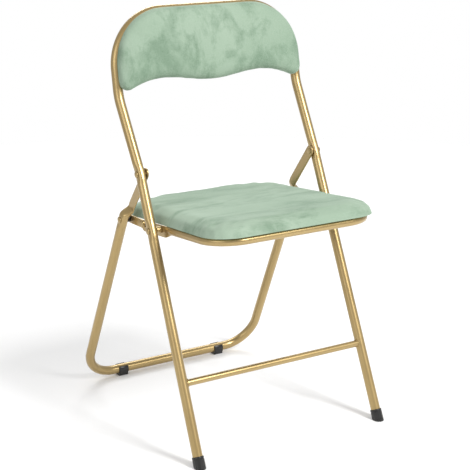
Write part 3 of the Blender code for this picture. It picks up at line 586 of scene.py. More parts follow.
def make_rear_frame():
    pivot = Vector((-REAR_LUG_X, *PIVOT_A))
    bend = Vector((-REAR_LUG_X, *REAR_BEND))
    foot = Vector((-REAR_FOOT_HALF_WIDTH, *REAR_BAR))
    leg_top = Vector((-REAR_BEND_HALF_WIDTH, *REAR_BEND))
    link = Vector((-rear_half_width(PIVOT_C[1]), *PIVOT_C))
    down = (foot - leg_top).normalized()
    sections = lug_tip(pivot, (pivot - bend).normalized(), REAR_LUG_HALF_HEIGHT)
    curve = rounded_path([pivot, bend, bend + down * SQUASH_LENGTH], [REAR_BEND_RADIUS], [8])[1:-1]
    sections += [lug(point, REAR_LUG_HALF_HEIGHT) for point in [pivot] + curve]
    squash_start = (curve[-1] - bend).length
    for i in range(1, 13):
        place = leg_top + down * (squash_start + SQUASH_LENGTH * i / 12)
        place.x = -REAR_LUG_X + (place.x + REAR_LUG_X) * eased(i / 12)
        sections.append(between(place, lug(place, REAR_LUG_HALF_HEIGHT), pressed(link, [link]), i / 12))
    sections += [pressed(link + down * FLAT_LENGTH * i / 8, [link]) for i in range(3, 9)]
    bar = rounded_path([link, foot, (0, *REAR_BAR)], [REAR_CORNER_RADIUS], [28])[1:]
    sections += [round_at(point) for point in bar]
    builder = bmesh.new()
    tip, _ = sweep(builder, sections)
    bmesh.ops.contextual_create(builder, geom=tip)
    mirror_half(builder)
    finish_piece("rear_frame_tube", builder, gold, "rear_frame", ("rear_frame",))


make_rear_frame()

# %% [markdown]
# ## Seat frame
# A thinner tube runs round the front and the sides of the seat. Behind it is squashed into a long flat
# lug that carries the seat's pivot and, further back, the link's.

# %% Seat frame
SEAT_TUBE_HALF_WIDTH = 0.1723
SEAT_TUBE_REACH = 0.1948
SEAT_TUBE_CORNER = 0.060
SEAT_LUG_X = 0.1784
SEAT_LUG_DROP = 0.0028
SEAT_LUG_START = 0.0130
SEAT_LUG_HALF_HEIGHT = 0.0110


def make_seat_frame():
    end = Vector((-SEAT_LUG_X, PIVOT_D_ON_SEAT[0], -SEAT_LUG_DROP))
    sections = lug_tip(end, Vector((0, 1, 0)), SEAT_LUG_HALF_HEIGHT)
    sections.append(lug(end, SEAT_LUG_HALF_HEIGHT))
    for i in range(13):
        place = Vector((-SEAT_LUG_X + (SEAT_LUG_X - SEAT_TUBE_HALF_WIDTH) * eased(i / 12),
                        -SEAT_LUG_START - SQUASH_LENGTH * i / 12, -SEAT_LUG_DROP * (1 - eased(i / 12))))
        tube = round_at(place, SEAT_TUBE_RADIUS)
        sections.append(between(place, lug(place, SEAT_LUG_HALF_HEIGHT), tube, i / 12))
    front = rounded_path([(-SEAT_TUBE_HALF_WIDTH, -0.034, 0), (-SEAT_TUBE_HALF_WIDTH, -SEAT_TUBE_REACH, 0),
                          (0, -SEAT_TUBE_REACH, 0)], [SEAT_TUBE_CORNER], [28])
    sections += [round_at(point, SEAT_TUBE_RADIUS) for point in front]
    builder = bmesh.new()
    tip, _ = sweep(builder, sections)
    bmesh.ops.contextual_create(builder, geom=tip)
    mirror_half(builder)
    bmesh.ops.transform(builder, matrix=SEAT_MATRIX, verts=builder.verts[:])
    finish_piece("seat_frame_tube", builder, gold, "seat", ("seat_frame",))


make_seat_frame()

# %% [markdown]
# ## Stretcher and its welds
# A thin tube ties the front legs together. Its ends are cut to fit the round of the legs and welded, and
# the weld is a small wavy bead along the joint. The joint is a circle that dips where it wraps round the
# leg, so the bead is a thin tube swept along that saddle, with its radius rising and falling.

# %% Stretcher and weld beads
STRETCHER_HEIGHT = 0.1415
STRETCHER_RADIUS = 0.0065
BEAD_RADIUS = 0.0011
LEG_DIRECTION = Vector((KNEE_HALF_WIDTH - FOOT_HALF_WIDTH, PIVOT_A_SETBACK, PIVOT_A[1])).normalized()


def saddle(radius, turn):
    """Where a line along X on the stretcher's skin meets the right leg: (x, y, z)."""
    y = FEET_Y + STRETCHER_HEIGHT * math.tan(FRONT_LEAN)
    skin = Vector((0, radius * math.cos(turn), radius * math.sin(turn)))
    beside = skin.dot(Vector((0, LEG_DIRECTION.z, -LEG_DIRECTION.y)).normalized())
    reach = leg_half_width(STRETCHER_HEIGHT + skin.z) - math.sqrt(TUBE_RADIUS ** 2 - beside ** 2)
    return Vector((reach, y + skin.y, STRETCHER_HEIGHT + skin.z))


def make_stretcher():
    sides = 40
    builder = bmesh.new()
    loops = []
    for side in (-1, 1):
        made = bmesh.ops.create_circle(builder, segments=sides, radius=STRETCHER_RADIUS)["verts"]
        for vert in made:
            skin = saddle(STRETCHER_RADIUS, math.atan2(vert.co.y, vert.co.x))
            vert.co = Vector((side * (skin.x - GAP), skin.y, skin.z))
        loops += list({edge for vert in made for edge in vert.link_edges})
    bmesh.ops.bridge_loops(builder, edges=loops)
    bmesh.ops.recalc_face_normals(builder, faces=builder.faces[:])
    finish_piece("stretcher_tube", builder, gold, "frame", ("front_stretcher",))


def make_stretcher_beads():
    builder = bmesh.new()
    steps = 72
    for side in (-1, 1):
        sections = []
        for i in range(steps):
            turn = 2 * math.pi * i / steps
            point = saddle(STRETCHER_RADIUS + BEAD_RADIUS * 0.35, turn)
            radius = BEAD_RADIUS * (1 + 0.16 * math.cos(turn * 18))
            middle = Vector((side * (point.x - BEAD_RADIUS * 0.5), point.y, point.z))
            sections.append((middle, radius, radius, 1.0))
        sweep(builder, sections, closed=True, sides=10)
    bmesh.ops.recalc_face_normals(builder, faces=builder.faces[:])
    finish_piece("stretcher_weld_beads", builder, gold, "frame", angle=60)


make_stretcher()
make_stretcher_beads()

# %% [markdown]
# ## Rivets, washers and spacers
# Each pivot is a solid rivet, with a round head outside and a flat head inside. They are turned pieces: a
# profile of (radius, height) is drawn as a wire and spun once round its axis with `spin`.

# %% Turned pieces
RIVET_RADIUS = 0.0030
HEAD_RADIUS = 0.0062
DOME_RISE = 0.0024
FLAT_RISE = 0.0014
TURNED_STEPS = 40


def turned(builder, profile, matrix, steps=TURNED_STEPS):
    """Spin an open profile of (radius, height) points about Z, then place the result."""
    points = [builder.verts.new((radius, 0, height)) for radius, height in profile]
    edges = [builder.edges.new(pair) for pair in zip(points, points[1:])]
    bmesh.ops.spin(builder, geom=points + edges, cent=(0, 0, 0), axis=(0, 0, 1), angle=2 * math.pi,
                   steps=steps, use_merge=True)
    fresh = [vert for vert in builder.verts if not vert.tag]
    bmesh.ops.remove_doubles(builder, verts=fresh, dist=0.000005)
    fresh = [vert for vert in builder.verts if not vert.tag]
    bmesh.ops.transform(builder, matrix=matrix, verts=fresh)
    for vert in fresh:
        vert.tag = True
    bmesh.ops.recalc_face_normals(builder, faces=[face for face in builder.faces if face.verts[0].tag])


def outward(place, side):
    """Stand a turned piece's axis along +X or -X, outward, at a pivot's (y, z)."""
    return Matrix.Translation((0, *place)) @ Matrix.Rotation(side * math.pi / 2, 4, "Y")


def head(base, rise, direction):
    """Profile of a rivet's head: a short straight rim and a round crown, with a small dimple."""
    rim = rise * 0.28
    points = [(HEAD_RADIUS - 0.0003, base), (HEAD_RADIUS, base + direction * rim * 0.4)]
    for i in range(8):
        turn = math.pi / 2 * i / 8
        height = rim + (rise - rim) * math.sin(turn)
        points.append((HEAD_RADIUS * math.cos(turn), base + direction * height))
    points.append((0.0008, base + direction * rise))
    return points + [(0, base + direction * (rise - 0.0002))]


def rivet_profile(inner, outer):
    """Each end is (distance from the middle plane, rise of its head); a rise of 0 is a plain end."""
    ends = []
    for (place, rise), direction in ((inner, -1), (outer, 1)):
        shank = [(RIVET_RADIUS, place)]
        ends.append(shank + (head(place, rise, direction) if rise else [(0, place)]))
    return ends[0][::-1] + ends[1]


def ring_profile(low, high, radius, edge=0.0003):
    bore = RIVET_RADIUS + GAP
    return [(bore, low), (radius - edge, low), (radius, low + edge), (radius, high - edge),
            (radius - edge, high), (bore, high), (bore, low)]


# %% Rivets and rings at each pivot
flat_half = TUBE_RADIUS - FLAT_DEPTH
leg_face_a = KNEE_HALF_WIDTH - flat_half
leg_face_b = leg_half_width(PIVOT_B[1]) - flat_half
leg_face_c = rear_half_width(PIVOT_C[1]) - flat_half
rear_lug_inner = REAR_LUG_X - LUG_HALF - GAP
rear_lug_outer = REAR_LUG_X + LUG_HALF
seat_lug_inner = SEAT_LUG_X - LUG_HALF - GAP
seat_lug_outer = SEAT_LUG_X + LUG_HALF
link_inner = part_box("fold_link_right")[0].x
link_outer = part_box("fold_link_right")[1].x
SPACER_RADIUS = 0.0062
through = 2 * flat_half + GAP


def turned_piece(name, profile, place, side, finish, body, replaced):
    builder = bmesh.new()
    turned(builder, profile, outward(place, side))
    return finish_piece(name, builder, finish, body, replaced, angle=40)


for word, side in (("left", -1), ("right", 1)):
    heads = {
        "rear_pivot_rivet_": ((rear_lug_inner, FLAT_RISE), (leg_face_a + through, DOME_RISE), PIVOT_A,
                              "frame"),
        "seat_pivot_rivet_": ((seat_lug_inner, FLAT_RISE), (leg_face_b + through, DOME_RISE), PIVOT_B,
                              "frame"),
        "link_leg_rivet_": ((link_inner - GAP, FLAT_RISE), (leg_face_c + through, DOME_RISE), PIVOT_C,
                            "rear_frame"),
        "link_seat_rivet_": ((seat_lug_outer + GAP, 0), (link_outer + GAP, FLAT_RISE), PIVOT_D, "links"),
        "link_seat_rivet_end_": ((seat_lug_inner, FLAT_RISE), (seat_lug_outer, 0), PIVOT_D, "seat"),
    }
    for stem, (inner, outer, place, body) in heads.items():
        turned_piece(stem + "turned_" + word, rivet_profile(inner, outer), place, side, gold, body,
                     (stem + word,))
    rings = {
        "rear_pivot_washer_": (rear_lug_outer, leg_face_a, PIVOT_A, "frame", gold, "painted_gold"),
        "seat_pivot_spacer_": (seat_lug_outer, leg_face_b, PIVOT_B, "frame", gold, "painted_gold"),
        "link_leg_spacer_": (link_outer, leg_face_c, PIVOT_C, "rear_frame", black, "black_plastic"),
        "link_seat_washer_": (seat_lug_outer, link_inner, PIVOT_D, "links", black, "black_plastic"),
    }
    for stem, (low, high, place, body, finish, slot) in rings.items():
        turned_piece(stem + "turned_" + word, ring_profile(low + GAP, high - GAP, SPACER_RADIUS), place, side,
                     finish, body, (stem + word,))

# %% [markdown]
# ## Links
# A link is a stamped steel strap with round ends. A long box is drawn from pivot to pivot, its four
# upright edges are bevelled into half circles, and then every rim gets the small radius that a stamping
# has before it is painted.

# %% Fold links
LINK_END_RADIUS = 0.0080


def make_link(word, side):
    start = Vector((0, *PIVOT_C))
    along = Vector((0, *PIVOT_D)) - start
    turn = math.atan2(along.z, along.y)
    thickness = link_outer - link_inner
    builder = bmesh.new()
    bmesh.ops.create_cube(builder, size=1)
    bmesh.ops.scale(builder, vec=(thickness, along.length + 2 * LINK_END_RADIUS, 2 * LINK_END_RADIUS),
                    verts=builder.verts[:])
    upright = [edge for edge in builder.edges if abs(edge.verts[0].co.x - edge.verts[1].co.x) > thickness / 2]
    bmesh.ops.bevel(builder, geom=upright, affect="EDGES", offset=LINK_END_RADIUS - 0.00001, segments=14,
                    profile=0.5, material=-1)
    bmesh.ops.remove_doubles(builder, verts=builder.verts[:], dist=0.00003)
    rims = [edge for edge in builder.edges if edge.calc_face_angle(0) > math.radians(60)]
    bmesh.ops.bevel(builder, geom=rims, affect="EDGES", offset=0.0004, segments=2, profile=0.5, material=-1)
    place = (Matrix.Translation((side * (link_inner + link_outer) / 2, *(start + along / 2).yz))
             @ Matrix.Rotation(turn, 4, "X"))
    bmesh.ops.transform(builder, matrix=place, verts=builder.verts[:])
    finish_piece("link_strap_" + word, builder, gold, "links", ("fold_link_" + word,))


for word, side in (("left", -1), ("right", 1)):
    make_link(word, side)

# %% [markdown]
# ## Feet
# The front feet are moulded cups pushed over the tube's ends, with shallow flutes for grip. They are turned
# round the leg's axis, and points on the wall move in by a cosine of their angle to make the flutes. Then
# `bisect_plane` cuts them level with the floor, because the leg leans. The rear feet are saddles that snap
# over the floor bar.

# %% Front foot cups
CUP_RADIUS = 0.0113
CUP_LENGTH = 0.021
CUP_FLOOR = 0.0080
FLUTES = 14
FLUTE_DEPTH = 0.0006
BELOW_FLOOR = -0.012


def make_cup(word, side):
    foot = Vector((side * FOOT_HALF_WIDTH, FEET_Y, 0))
    up_leg = (Vector((side * KNEE_HALF_WIDTH, *PIVOT_A)) - foot).normalized()
    bore = TUBE_RADIUS + GAP
    tube_end = CUP_FLOOR / up_leg.z
    profile = [(0, BELOW_FLOOR), (CUP_RADIUS, BELOW_FLOOR), (CUP_RADIUS, 0.004),
               (CUP_RADIUS - 0.0001, CUP_LENGTH - 0.0052)]
    profile += [(CUP_RADIUS - 0.0005, CUP_LENGTH - 0.0048), (CUP_RADIUS - 0.0005, CUP_LENGTH - 0.0040),
                (CUP_RADIUS - 0.0001, CUP_LENGTH - 0.0036)]
    for i in range(6):
        turn = math.pi / 2 * i / 5
        profile.append((bore + (CUP_RADIUS - bore) * math.cos(turn),
                        CUP_LENGTH - 0.0016 * (1 - math.sin(turn))))
    profile += [(bore, tube_end), (0, tube_end)]
    builder = bmesh.new()
    turn = up_leg.to_track_quat("Z", "Y").to_matrix().to_4x4()
    turned(builder, profile, Matrix.Identity(4), steps=84)
    for vert in builder.verts:
        radius = math.hypot(vert.co.x, vert.co.y)
        if radius > CUP_RADIUS - 0.00005 and vert.co.z < CUP_LENGTH - 0.0050:
            wave_in = 0.5 - 0.5 * math.cos(math.atan2(vert.co.y, vert.co.x) * FLUTES)
            vert.co.xy *= 1 - FLUTE_DEPTH * wave_in / radius
    bmesh.ops.transform(builder, matrix=Matrix.Translation(foot) @ turn, verts=builder.verts[:])
    geometry = builder.verts[:] + builder.edges[:] + builder.faces[:]
    rim = bmesh.ops.bisect_plane(builder, geom=geometry, plane_co=(0, 0, 0), plane_no=(0, 0, -1),
                                 clear_outer=True)["geom_cut"]
    sole_edges = [part for part in rim if isinstance(part, bmesh.types.BMEdge)]
    sole = bmesh.ops.contextual_create(builder, geom=sole_edges)["faces"]
    bmesh.ops.recalc_face_normals(builder, faces=builder.faces[:])
    bmesh.ops.inset_region(builder, faces=sole, thickness=0.0009, depth=0)
    finish_piece("foot_cup_" + word, builder, black, "frame", ("front_foot_cap_" + word,))


for word, side in (("left", -1), ("right", 1)):
    make_cup(word, side)


# %% Rear foot saddles
SADDLE_X = (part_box("rear_foot_glide_right")[0].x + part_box("rear_foot_glide_right")[1].x) / 2
SADDLE_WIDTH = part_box("rear_foot_glide_right")[1].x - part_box("rear_foot_glide_right")[0].x
SADDLE_WALL = 0.0022
SADDLE_MOUTH = math.radians(100)
SOLE_HALF_WIDTH = 0.0085


def saddle_outline():
    """Section round the floor bar: the outside down to the flat sole, and the bore."""
    inner = TUBE_RADIUS + GAP
    lip = math.pi / 2 - SADDLE_MOUTH / 2
    shoulder = math.radians(-25)
    outer = []
    for i in range(17):
        angle = lip + (shoulder - lip) * i / 16
        outer.append(((inner + SADDLE_WALL) * math.cos(angle), (inner + SADDLE_WALL) * math.sin(angle)))
    outer.append((SOLE_HALF_WIDTH, -REAR_BAR[1]))
    bore = []
    for i in range(41):
        angle = math.pi - lip + (math.pi + 2 * lip) * i / 40
        bore.append((inner * math.cos(angle), inner * math.sin(angle)))
    return outer + [(-y, z) for y, z in outer[::-1]] + bore


def make_saddle(word, side):
    builder = bmesh.new()
    low = side * SADDLE_X - SADDLE_WIDTH / 2
    outline = [builder.verts.new((low, REAR_BAR[0] + y, REAR_BAR[1] + z)) for y, z in saddle_outline()]
    face = builder.faces.new(outline)
    raised = bmesh.ops.extrude_face_region(builder, geom=[face])["geom"]
    corners = [part for part in raised if isinstance(part, bmesh.types.BMVert)]
    bmesh.ops.translate(builder, verts=corners, vec=(SADDLE_WIDTH, 0, 0))
    bmesh.ops.recalc_face_normals(builder, faces=builder.faces[:])
    rims = [edge for edge in builder.edges if edge.calc_face_angle(0) > math.radians(40)]
    bmesh.ops.bevel(builder, geom=rims, affect="EDGES", offset=0.0004, segments=2, profile=0.5, material=-1)
    finish_piece("foot_saddle_" + word, builder, black, "rear_frame",
                 ("rear_foot_glide_" + word,))


for word, side in (("left", -1), ("right", 1)):
    make_saddle(word, side)

# %% [markdown]
# ## Tabs and screws
# Each pad's board is screwed to small tabs that are welded to the tube. The tabs keep their shape from
# the frame, on a merged copy whose rims are broken with a bevel. The screws are turned, and a cross is
# sunk into each head by a Boolean with two crossed bars.

# %% Tabs with broken edges
def clean_copy(node):
    """A bmesh of a CAD node's loose triangles, merged and with its flat faces whole again."""
    builder = bmesh.new()
    builder.from_mesh(nodes[node].data)
    bmesh.ops.remove_doubles(builder, verts=builder.verts[:], dist=0.00002)
    bmesh.ops.dissolve_limit(builder, angle_limit=math.radians(1), verts=builder.verts[:],
                             edges=builder.edges[:])
    return builder


def make_tab(node, body):
    builder = clean_copy(node)
    rims = [edge for edge in builder.edges if edge.calc_face_angle(0) > math.radians(70)]
    bmesh.ops.bevel(builder, geom=rims, affect="EDGES", offset=0.0002, segments=2, profile=0.5, material=-1)
    finish_piece(node.replace("_tab_", "_bracket_"), builder, gold, body, (node,))


for node in sorted(nodes):
    if "_tab_" in node:
        make_tab(node, "seat" if node.startswith("seat") else "frame")

# %% Cross-head screws
SCREW_RADIUS = 0.0020
SCREW_HEAD_RADIUS = 0.0042
SCREW_HEAD_HEIGHT = 0.0022
BACK_MATRIX = Matrix.Translation((0, *SHOULDER)) @ Matrix.Rotation(math.pi / 2 - BACK_LEAN, 4, "X")


def make_screw(node, body, holder):
    """A pan-head screw, pointing along the pad's z; its place is read from the node that it replaces."""
    corners = [holder.inverted() @ vert.co for vert in nodes[node].data.vertices]
    middle_x = (min(p.x for p in corners) + max(p.x for p in corners)) / 2
    middle_y = (min(p.y for p in corners) + max(p.y for p in corners)) / 2
    low = min(p.z for p in corners)
    tip = max(p.z for p in corners)
    base = low + SCREW_HEAD_HEIGHT
    profile = [(0, low)]
    for i in range(1, 8):
        turn = math.pi / 2 * i / 7
        height = (base - low) * 0.7 * (1 - math.cos(turn))
        profile.append((SCREW_HEAD_RADIUS * math.sin(turn) ** 0.8, low + height))
    profile += [(SCREW_HEAD_RADIUS, base - 0.0002), (SCREW_HEAD_RADIUS - 0.0002, base), (SCREW_RADIUS, base),
                (SCREW_RADIUS, tip - SCREW_RADIUS), (0, tip)]
    builder = bmesh.new()
    place = holder @ Matrix.Translation((middle_x, middle_y, 0))
    turned(builder, profile, place, steps=32)
    screw = finish_piece(node.replace("_screw_", "_cross_screw_"), builder, zinc, body, (node,))
    cross = bmesh.new()
    for size in ((0.0042, 0.0009, 0.0024), (0.0009, 0.0042, 0.0024)):
        bar = bmesh.ops.create_cube(cross, size=1)["verts"]
        bmesh.ops.scale(cross, vec=size, verts=bar)
    bmesh.ops.transform(cross, matrix=place @ Matrix.Translation((0, 0, low)), verts=cross.verts[:])
    cut_away(screw, cross)


def cut_away(piece, builder):
    """Cut a bmesh's shape out of a piece, and keep the result as the piece's mesh."""
    mesh = bpy.data.meshes.new("cutter")
    bmesh.ops.recalc_face_normals(builder, faces=builder.faces[:])
    builder.to_mesh(mesh)
    builder.free()
    tool = bpy.data.objects.new("cutter", mesh)
    scene.collection.objects.link(tool)
    boolean = piece.modifiers.new("cut", "BOOLEAN")
    boolean.solver = "EXACT"
    boolean.object = tool
    boolean.use_self = True
    apply_modifiers(piece)
    bpy.data.objects.remove(tool)


def apply_modifiers(piece):
    evaluated = piece.evaluated_get(bpy.context.evaluated_depsgraph_get())
    fresh = bpy.data.meshes.new_from_object(evaluated)
    piece.modifiers.clear()
    old = piece.data
    piece.data = fresh
    bpy.data.meshes.remove(old)
    fresh.name = piece.name


for node in sorted(nodes):
    if "_screw_" in node:
        on_seat = node.startswith("seat")
        make_screw(node, "seat" if on_seat else "frame", SEAT_MATRIX if on_seat else BACK_MATRIX)

# %% [markdown]
# ## Pads
# Each pad is a plywood board with foam on it and velvet pulled over both and round to the back. A box
# with rounded edges would look like a tile. The pad is drawn as its flat outline, raised and rounded in
# rings with `inset_region`, turned to an even skin by a voxel remesh, and blown up a little by a cloth
# simulation with pressure. A remesh rounds every edge, so the pad starts a little behind its real back,
# where it is pinned, and `bisect_plane` trims it there at the end to leave a crisp lower edge. The flat
# back is then filled round the mouth of the board's pocket.

# %% Pad helpers
ROLL_STEPS = 5


def raise_pad(builder, face, wall, crown, roll):
    """Extrude the outline up to the wall's height, then round it over with rings that climb to the crown."""
    raised = bmesh.ops.extrude_face_region(builder, geom=[face])["geom"]
    top = [part for part in raised if isinstance(part, bmesh.types.BMFace)]
    corners = [part for part in raised if isinstance(part, bmesh.types.BMVert)]
    bmesh.ops.translate(builder, verts=corners, vec=(0, 0, wall))
    for i in range(ROLL_STEPS):
        start = math.pi / 2 * i / ROLL_STEPS
        end = math.pi / 2 * (i + 1) / ROLL_STEPS
        bmesh.ops.inset_region(builder, faces=top, thickness=roll * (math.cos(start) - math.cos(end)),
                               depth=(crown - wall) * (math.sin(end) - math.sin(start)))
    bmesh.ops.recalc_face_normals(builder, faces=builder.faces[:])


def puff(piece, floor_height, pressure, reach, frames=20):
    """Swell a pad with cloth pressure. Points below floor_height are pinned, and none moves past reach."""
    start = [vert.co.copy() for vert in piece.data.vertices]
    pinned = piece.vertex_groups.new(name="pinned")
    pinned.add([vert.index for vert in piece.data.vertices if vert.co.z < floor_height], 1.0, "REPLACE")
    cloth = piece.modifiers.new("cloth", "CLOTH")
    cloth.settings.quality = 5
    cloth.settings.mass = 0.3
    cloth.settings.tension_stiffness = 15
    cloth.settings.compression_stiffness = 15
    cloth.settings.shear_stiffness = 8
    cloth.settings.bending_stiffness = 2
    cloth.settings.vertex_group_mass = "pinned"
    cloth.settings.use_pressure = True
    cloth.settings.uniform_pressure_force = pressure
    cloth.settings.effector_weights.gravity = 0
    cloth.collision_settings.use_collision = False
    for step in range(1, frames + 1):
        scene.frame_set(step)
    apply_modifiers(piece)
    scene.frame_set(1)
    moved = 0
    for vert, before in zip(piece.data.vertices, start):
        offset = vert.co - before
        moved = max(moved, offset.length)
        if offset.length > reach:
            vert.co = before + offset.normalized() * reach
    piece.vertex_groups.clear()
    print(piece.name, "swelled by up to", round(min(moved, reach) * 1000, 1), "mm of", round(moved * 1000, 1))


def even_skin(piece, voxel):
    remesh = piece.modifiers.new("remesh", "REMESH")
    remesh.mode = "VOXEL"
    remesh.voxel_size = voxel
    remesh.use_smooth_shade = True
    apply_modifiers(piece)


def make_pad(name, outline, low, wall, crown, roll, swell):
    """Build, swell and smooth a pad. The outline is a bmesh with one face, a little behind the pad's back."""
    raise_pad(outline, outline.faces[:][0], wall, crown, roll)
    mesh = bpy.data.meshes.new(name)
    outline.to_mesh(mesh)
    outline.free()
    pad = bpy.data.objects.new(name, mesh)
    scene.collection.objects.link(pad)
    even_skin(pad, 0.004)
    puff(pad, low + 0.001, 4, swell)
    smooth = bmesh.new()
    smooth.from_mesh(pad.data)
    above = [vert for vert in smooth.verts if vert.co.z > low]
    for _ in range(6):
        bmesh.ops.smooth_vert(smooth, verts=above, factor=0.5, use_axis_x=True, use_axis_y=True,
                              use_axis_z=True)
    smooth.to_mesh(pad.data)
    smooth.free()
    refine = pad.modifiers.new("refine", "SUBSURF")
    refine.levels = refine.render_levels = 1
    apply_modifiers(pad)
    return pad


def loop_edges(geometry):
    return [part for part in geometry if isinstance(part, bmesh.types.BMEdge)]


def trim_back(pad, low, outline, depth, velvet, holder):
    """Cut the pad flat at its back, sink the board's pocket there, and put the pad in its place."""
    builder = bmesh.new()
    builder.from_mesh(pad.data)
    whole = builder.verts[:] + builder.edges[:] + builder.faces[:]
    rim = loop_edges(bmesh.ops.bisect_plane(builder, geom=whole, plane_co=(0, 0, low), plane_no=(0, 0, -1),
                                            clear_outer=True)["geom_cut"])
    drawn = bpy.data.meshes.new("pocket")
    outline.to_mesh(drawn)
    outline.free()
    for vert in builder.verts:
        vert.tag = True
    builder.from_mesh(drawn)
    bpy.data.meshes.remove(drawn)
    mouth = list({edge for vert in builder.verts if not vert.tag for edge in vert.link_edges})
    cap = list({face for edge in mouth for face in edge.link_faces})
    bmesh.ops.delete(builder, geom=cap, context="FACES_ONLY")
    bmesh.ops.triangle_fill(builder, edges=rim + mouth, use_beauty=True, use_dissolve=False,
                            normal=(0, 0, -1))
    walls = bmesh.ops.extrude_edge_only(builder, edges=mouth)["geom"]
    corners = [part for part in walls if isinstance(part, bmesh.types.BMVert)]
    bmesh.ops.translate(builder, verts=corners, vec=(0, 0, depth))
    floor = [edge for edge in loop_edges(walls) if all(vert in corners for vert in edge.verts)]
    bmesh.ops.contextual_create(builder, geom=floor)
    bmesh.ops.recalc_face_normals(builder, faces=builder.faces[:])
    bmesh.ops.transform(builder, matrix=holder, verts=builder.verts[:])
    builder.to_mesh(pad.data)
    open_edges = sum(1 for edge in builder.edges if not edge.is_manifold)
    builder.free()
    pad.data.materials.append(velvet)
    pad.data.shade_smooth()
    pad.data.set_sharp_from_angle(angle=math.radians(50))
    print(pad.name, "has", open_edges, "open edges")


# %% [markdown]
# ### Seat pad
# The seat is a little wider at the front. Its outline is four corners, and `bevel` on the corner points
# rounds them. The foam makes a low crown, and its upper edge rolls over softly, while the lower edge is
# pulled tight round the board.

# %% Seat pad
SEAT_LOW = SEAT_TUBE_RADIUS + GAP
SEAT_FRONT = 0.2085
SEAT_REAR = 0.1840
SEAT_HALF_FRONT = 0.1825
SEAT_HALF_REAR = 0.1725
BOARD_INSET = 0.010
SEAT_TUCK = -0.0008
BEHIND = 0.0060
SEAT_WALL = 0.0085
SEAT_CROWN = 0.0205
SEAT_ROLL = 0.0105
SEAT_SWELL = 0.005
SEAT_POCKET = 0.0098


def seat_outline(inset, height):
    """The seat's outline as a bmesh with one face, in seat coordinates."""
    builder = bmesh.new()
    front = SEAT_HALF_FRONT - inset
    rear = SEAT_HALF_REAR - inset
    places = ((-front, inset - SEAT_FRONT), (front, inset - SEAT_FRONT), (rear, SEAT_REAR - inset),
              (-rear, SEAT_REAR - inset))
    corners = [builder.verts.new((x, y, height)) for x, y in places]
    builder.faces.new(corners)
    for pair, radius in ((corners[:2], 0.058), (corners[2:], 0.072)):
        bmesh.ops.bevel(builder, geom=pair, affect="VERTICES", offset=radius - inset, segments=16,
                        profile=0.5, material=-1)
    return builder


def make_seat_pad():
    pad = make_pad("seat_pad", seat_outline(SEAT_TUCK, SEAT_LOW - BEHIND), SEAT_LOW, SEAT_WALL + BEHIND,
                   SEAT_CROWN + BEHIND, SEAT_ROLL, SEAT_SWELL)
    brush_wrinkles(pad, 0.0007)
    trim_back(pad, SEAT_LOW, seat_outline(BOARD_INSET, SEAT_LOW), SEAT_POCKET, seat_velvet, SEAT_MATRIX)
    dress(pad, "seat", ("seat_cushion",))


def brush_wrinkles(pad, depth):
    """Low, wide unevenness of foam under cloth, from smooth noise. It fades out at the pinned rim."""
    low = min(vert.co.z for vert in pad.data.vertices)
    high = max(vert.co.z for vert in pad.data.vertices)
    normals = [vert.normal.copy() for vert in pad.data.vertices]
    for vert, normal in zip(pad.data.vertices, normals):
        share = max(0, min(1, (vert.co.z - low) / (high - low) * 2 - 0.6))
        vert.co += normal * depth * share * noise.noise(vert.co * 28)


make_seat_pad()

# %% [markdown]
# ### Back pad
# The back pad follows the hoop: its top corners turn with the hoop's own radius, just inside it, and its
# lower edge is a wave with a low belly in the middle and two arches. The wave is one formula. A grid's
# lowest row is moved on to it, and the two top corners are bevelled round.

# %% Back pad
BACK_LOW = TUBE_RADIUS + GAP
BACK_HALF = 0.2020
BACK_TOP = 0.7960
TIP_HEIGHT = 0.645
TIP_X = 0.1850
ARCH_X = 0.108
ARCH_RISE = 0.019
BELLY_RISE = 0.008
BACK_TUCK = 0.0
BACK_BOARD_INSET = 0.012
BACK_WALL = 0.0060
BACK_CROWN = 0.0172
BACK_ROLL = 0.0085
BACK_SWELL = 0.0035
BACK_POCKET = 0.0068


def up_the_back(z):
    return (z - SHOULDER[1]) / math.cos(BACK_LEAN)


def wave(x):
    """Height of the lower edge above its tips."""
    if x < ARCH_X:
        return BELLY_RISE + (ARCH_RISE - BELLY_RISE) * (1 - math.cos(math.pi * x / ARCH_X)) / 2
    share = min(1, (x - ARCH_X) / (TIP_X - ARCH_X))
    return ARCH_RISE * (1 - share * share)


def back_outline(inset, height):
    """The back pad's outline as a bmesh with one face, with y up the back."""
    low = up_the_back(TIP_HEIGHT) + inset
    top = up_the_back(BACK_TOP) - inset
    side = BACK_HALF - inset
    tip = TIP_X - inset
    builder = bmesh.new()
    places = ((-tip, low), (tip, low), (side - (side - tip) * 0.25, low + (side - tip) * 0.35),
              (side, low + side - tip), (side, top), (-side, top), (-side, low + side - tip),
              (-side + (side - tip) * 0.25, low + (side - tip) * 0.35))
    points = [builder.verts.new((x, y, height)) for x, y in places]
    builder.faces.new(points)
    bmesh.ops.bevel(builder, geom=points[4:6], affect="VERTICES", offset=HOOP_RADIUS - inset, segments=24,
                    profile=0.5, material=-1)
    lower = [edge for edge in builder.edges if all(abs(vert.co.y - low) < 0.00001 for vert in edge.verts)]
    cuts = bmesh.ops.subdivide_edges(builder, edges=lower, cuts=48)["geom_inner"]
    for vert in cuts:
        if isinstance(vert, bmesh.types.BMVert):
            vert.co.y += wave(abs(vert.co.x) * TIP_X / tip)
    return builder


def make_back_pad():
    pad = make_pad("back_pad", back_outline(BACK_TUCK, BACK_LOW - BEHIND), BACK_LOW, BACK_WALL + BEHIND,
                   BACK_CROWN + BEHIND, BACK_ROLL, BACK_SWELL)
    brush_wrinkles(pad, 0.0005)
    trim_back(pad, BACK_LOW, back_outline(BACK_BOARD_INSET, BACK_LOW), BACK_POCKET, back_velvet, BACK_MATRIX)
    dress(pad, "frame", ("backrest_cushion",))


make_back_pad()

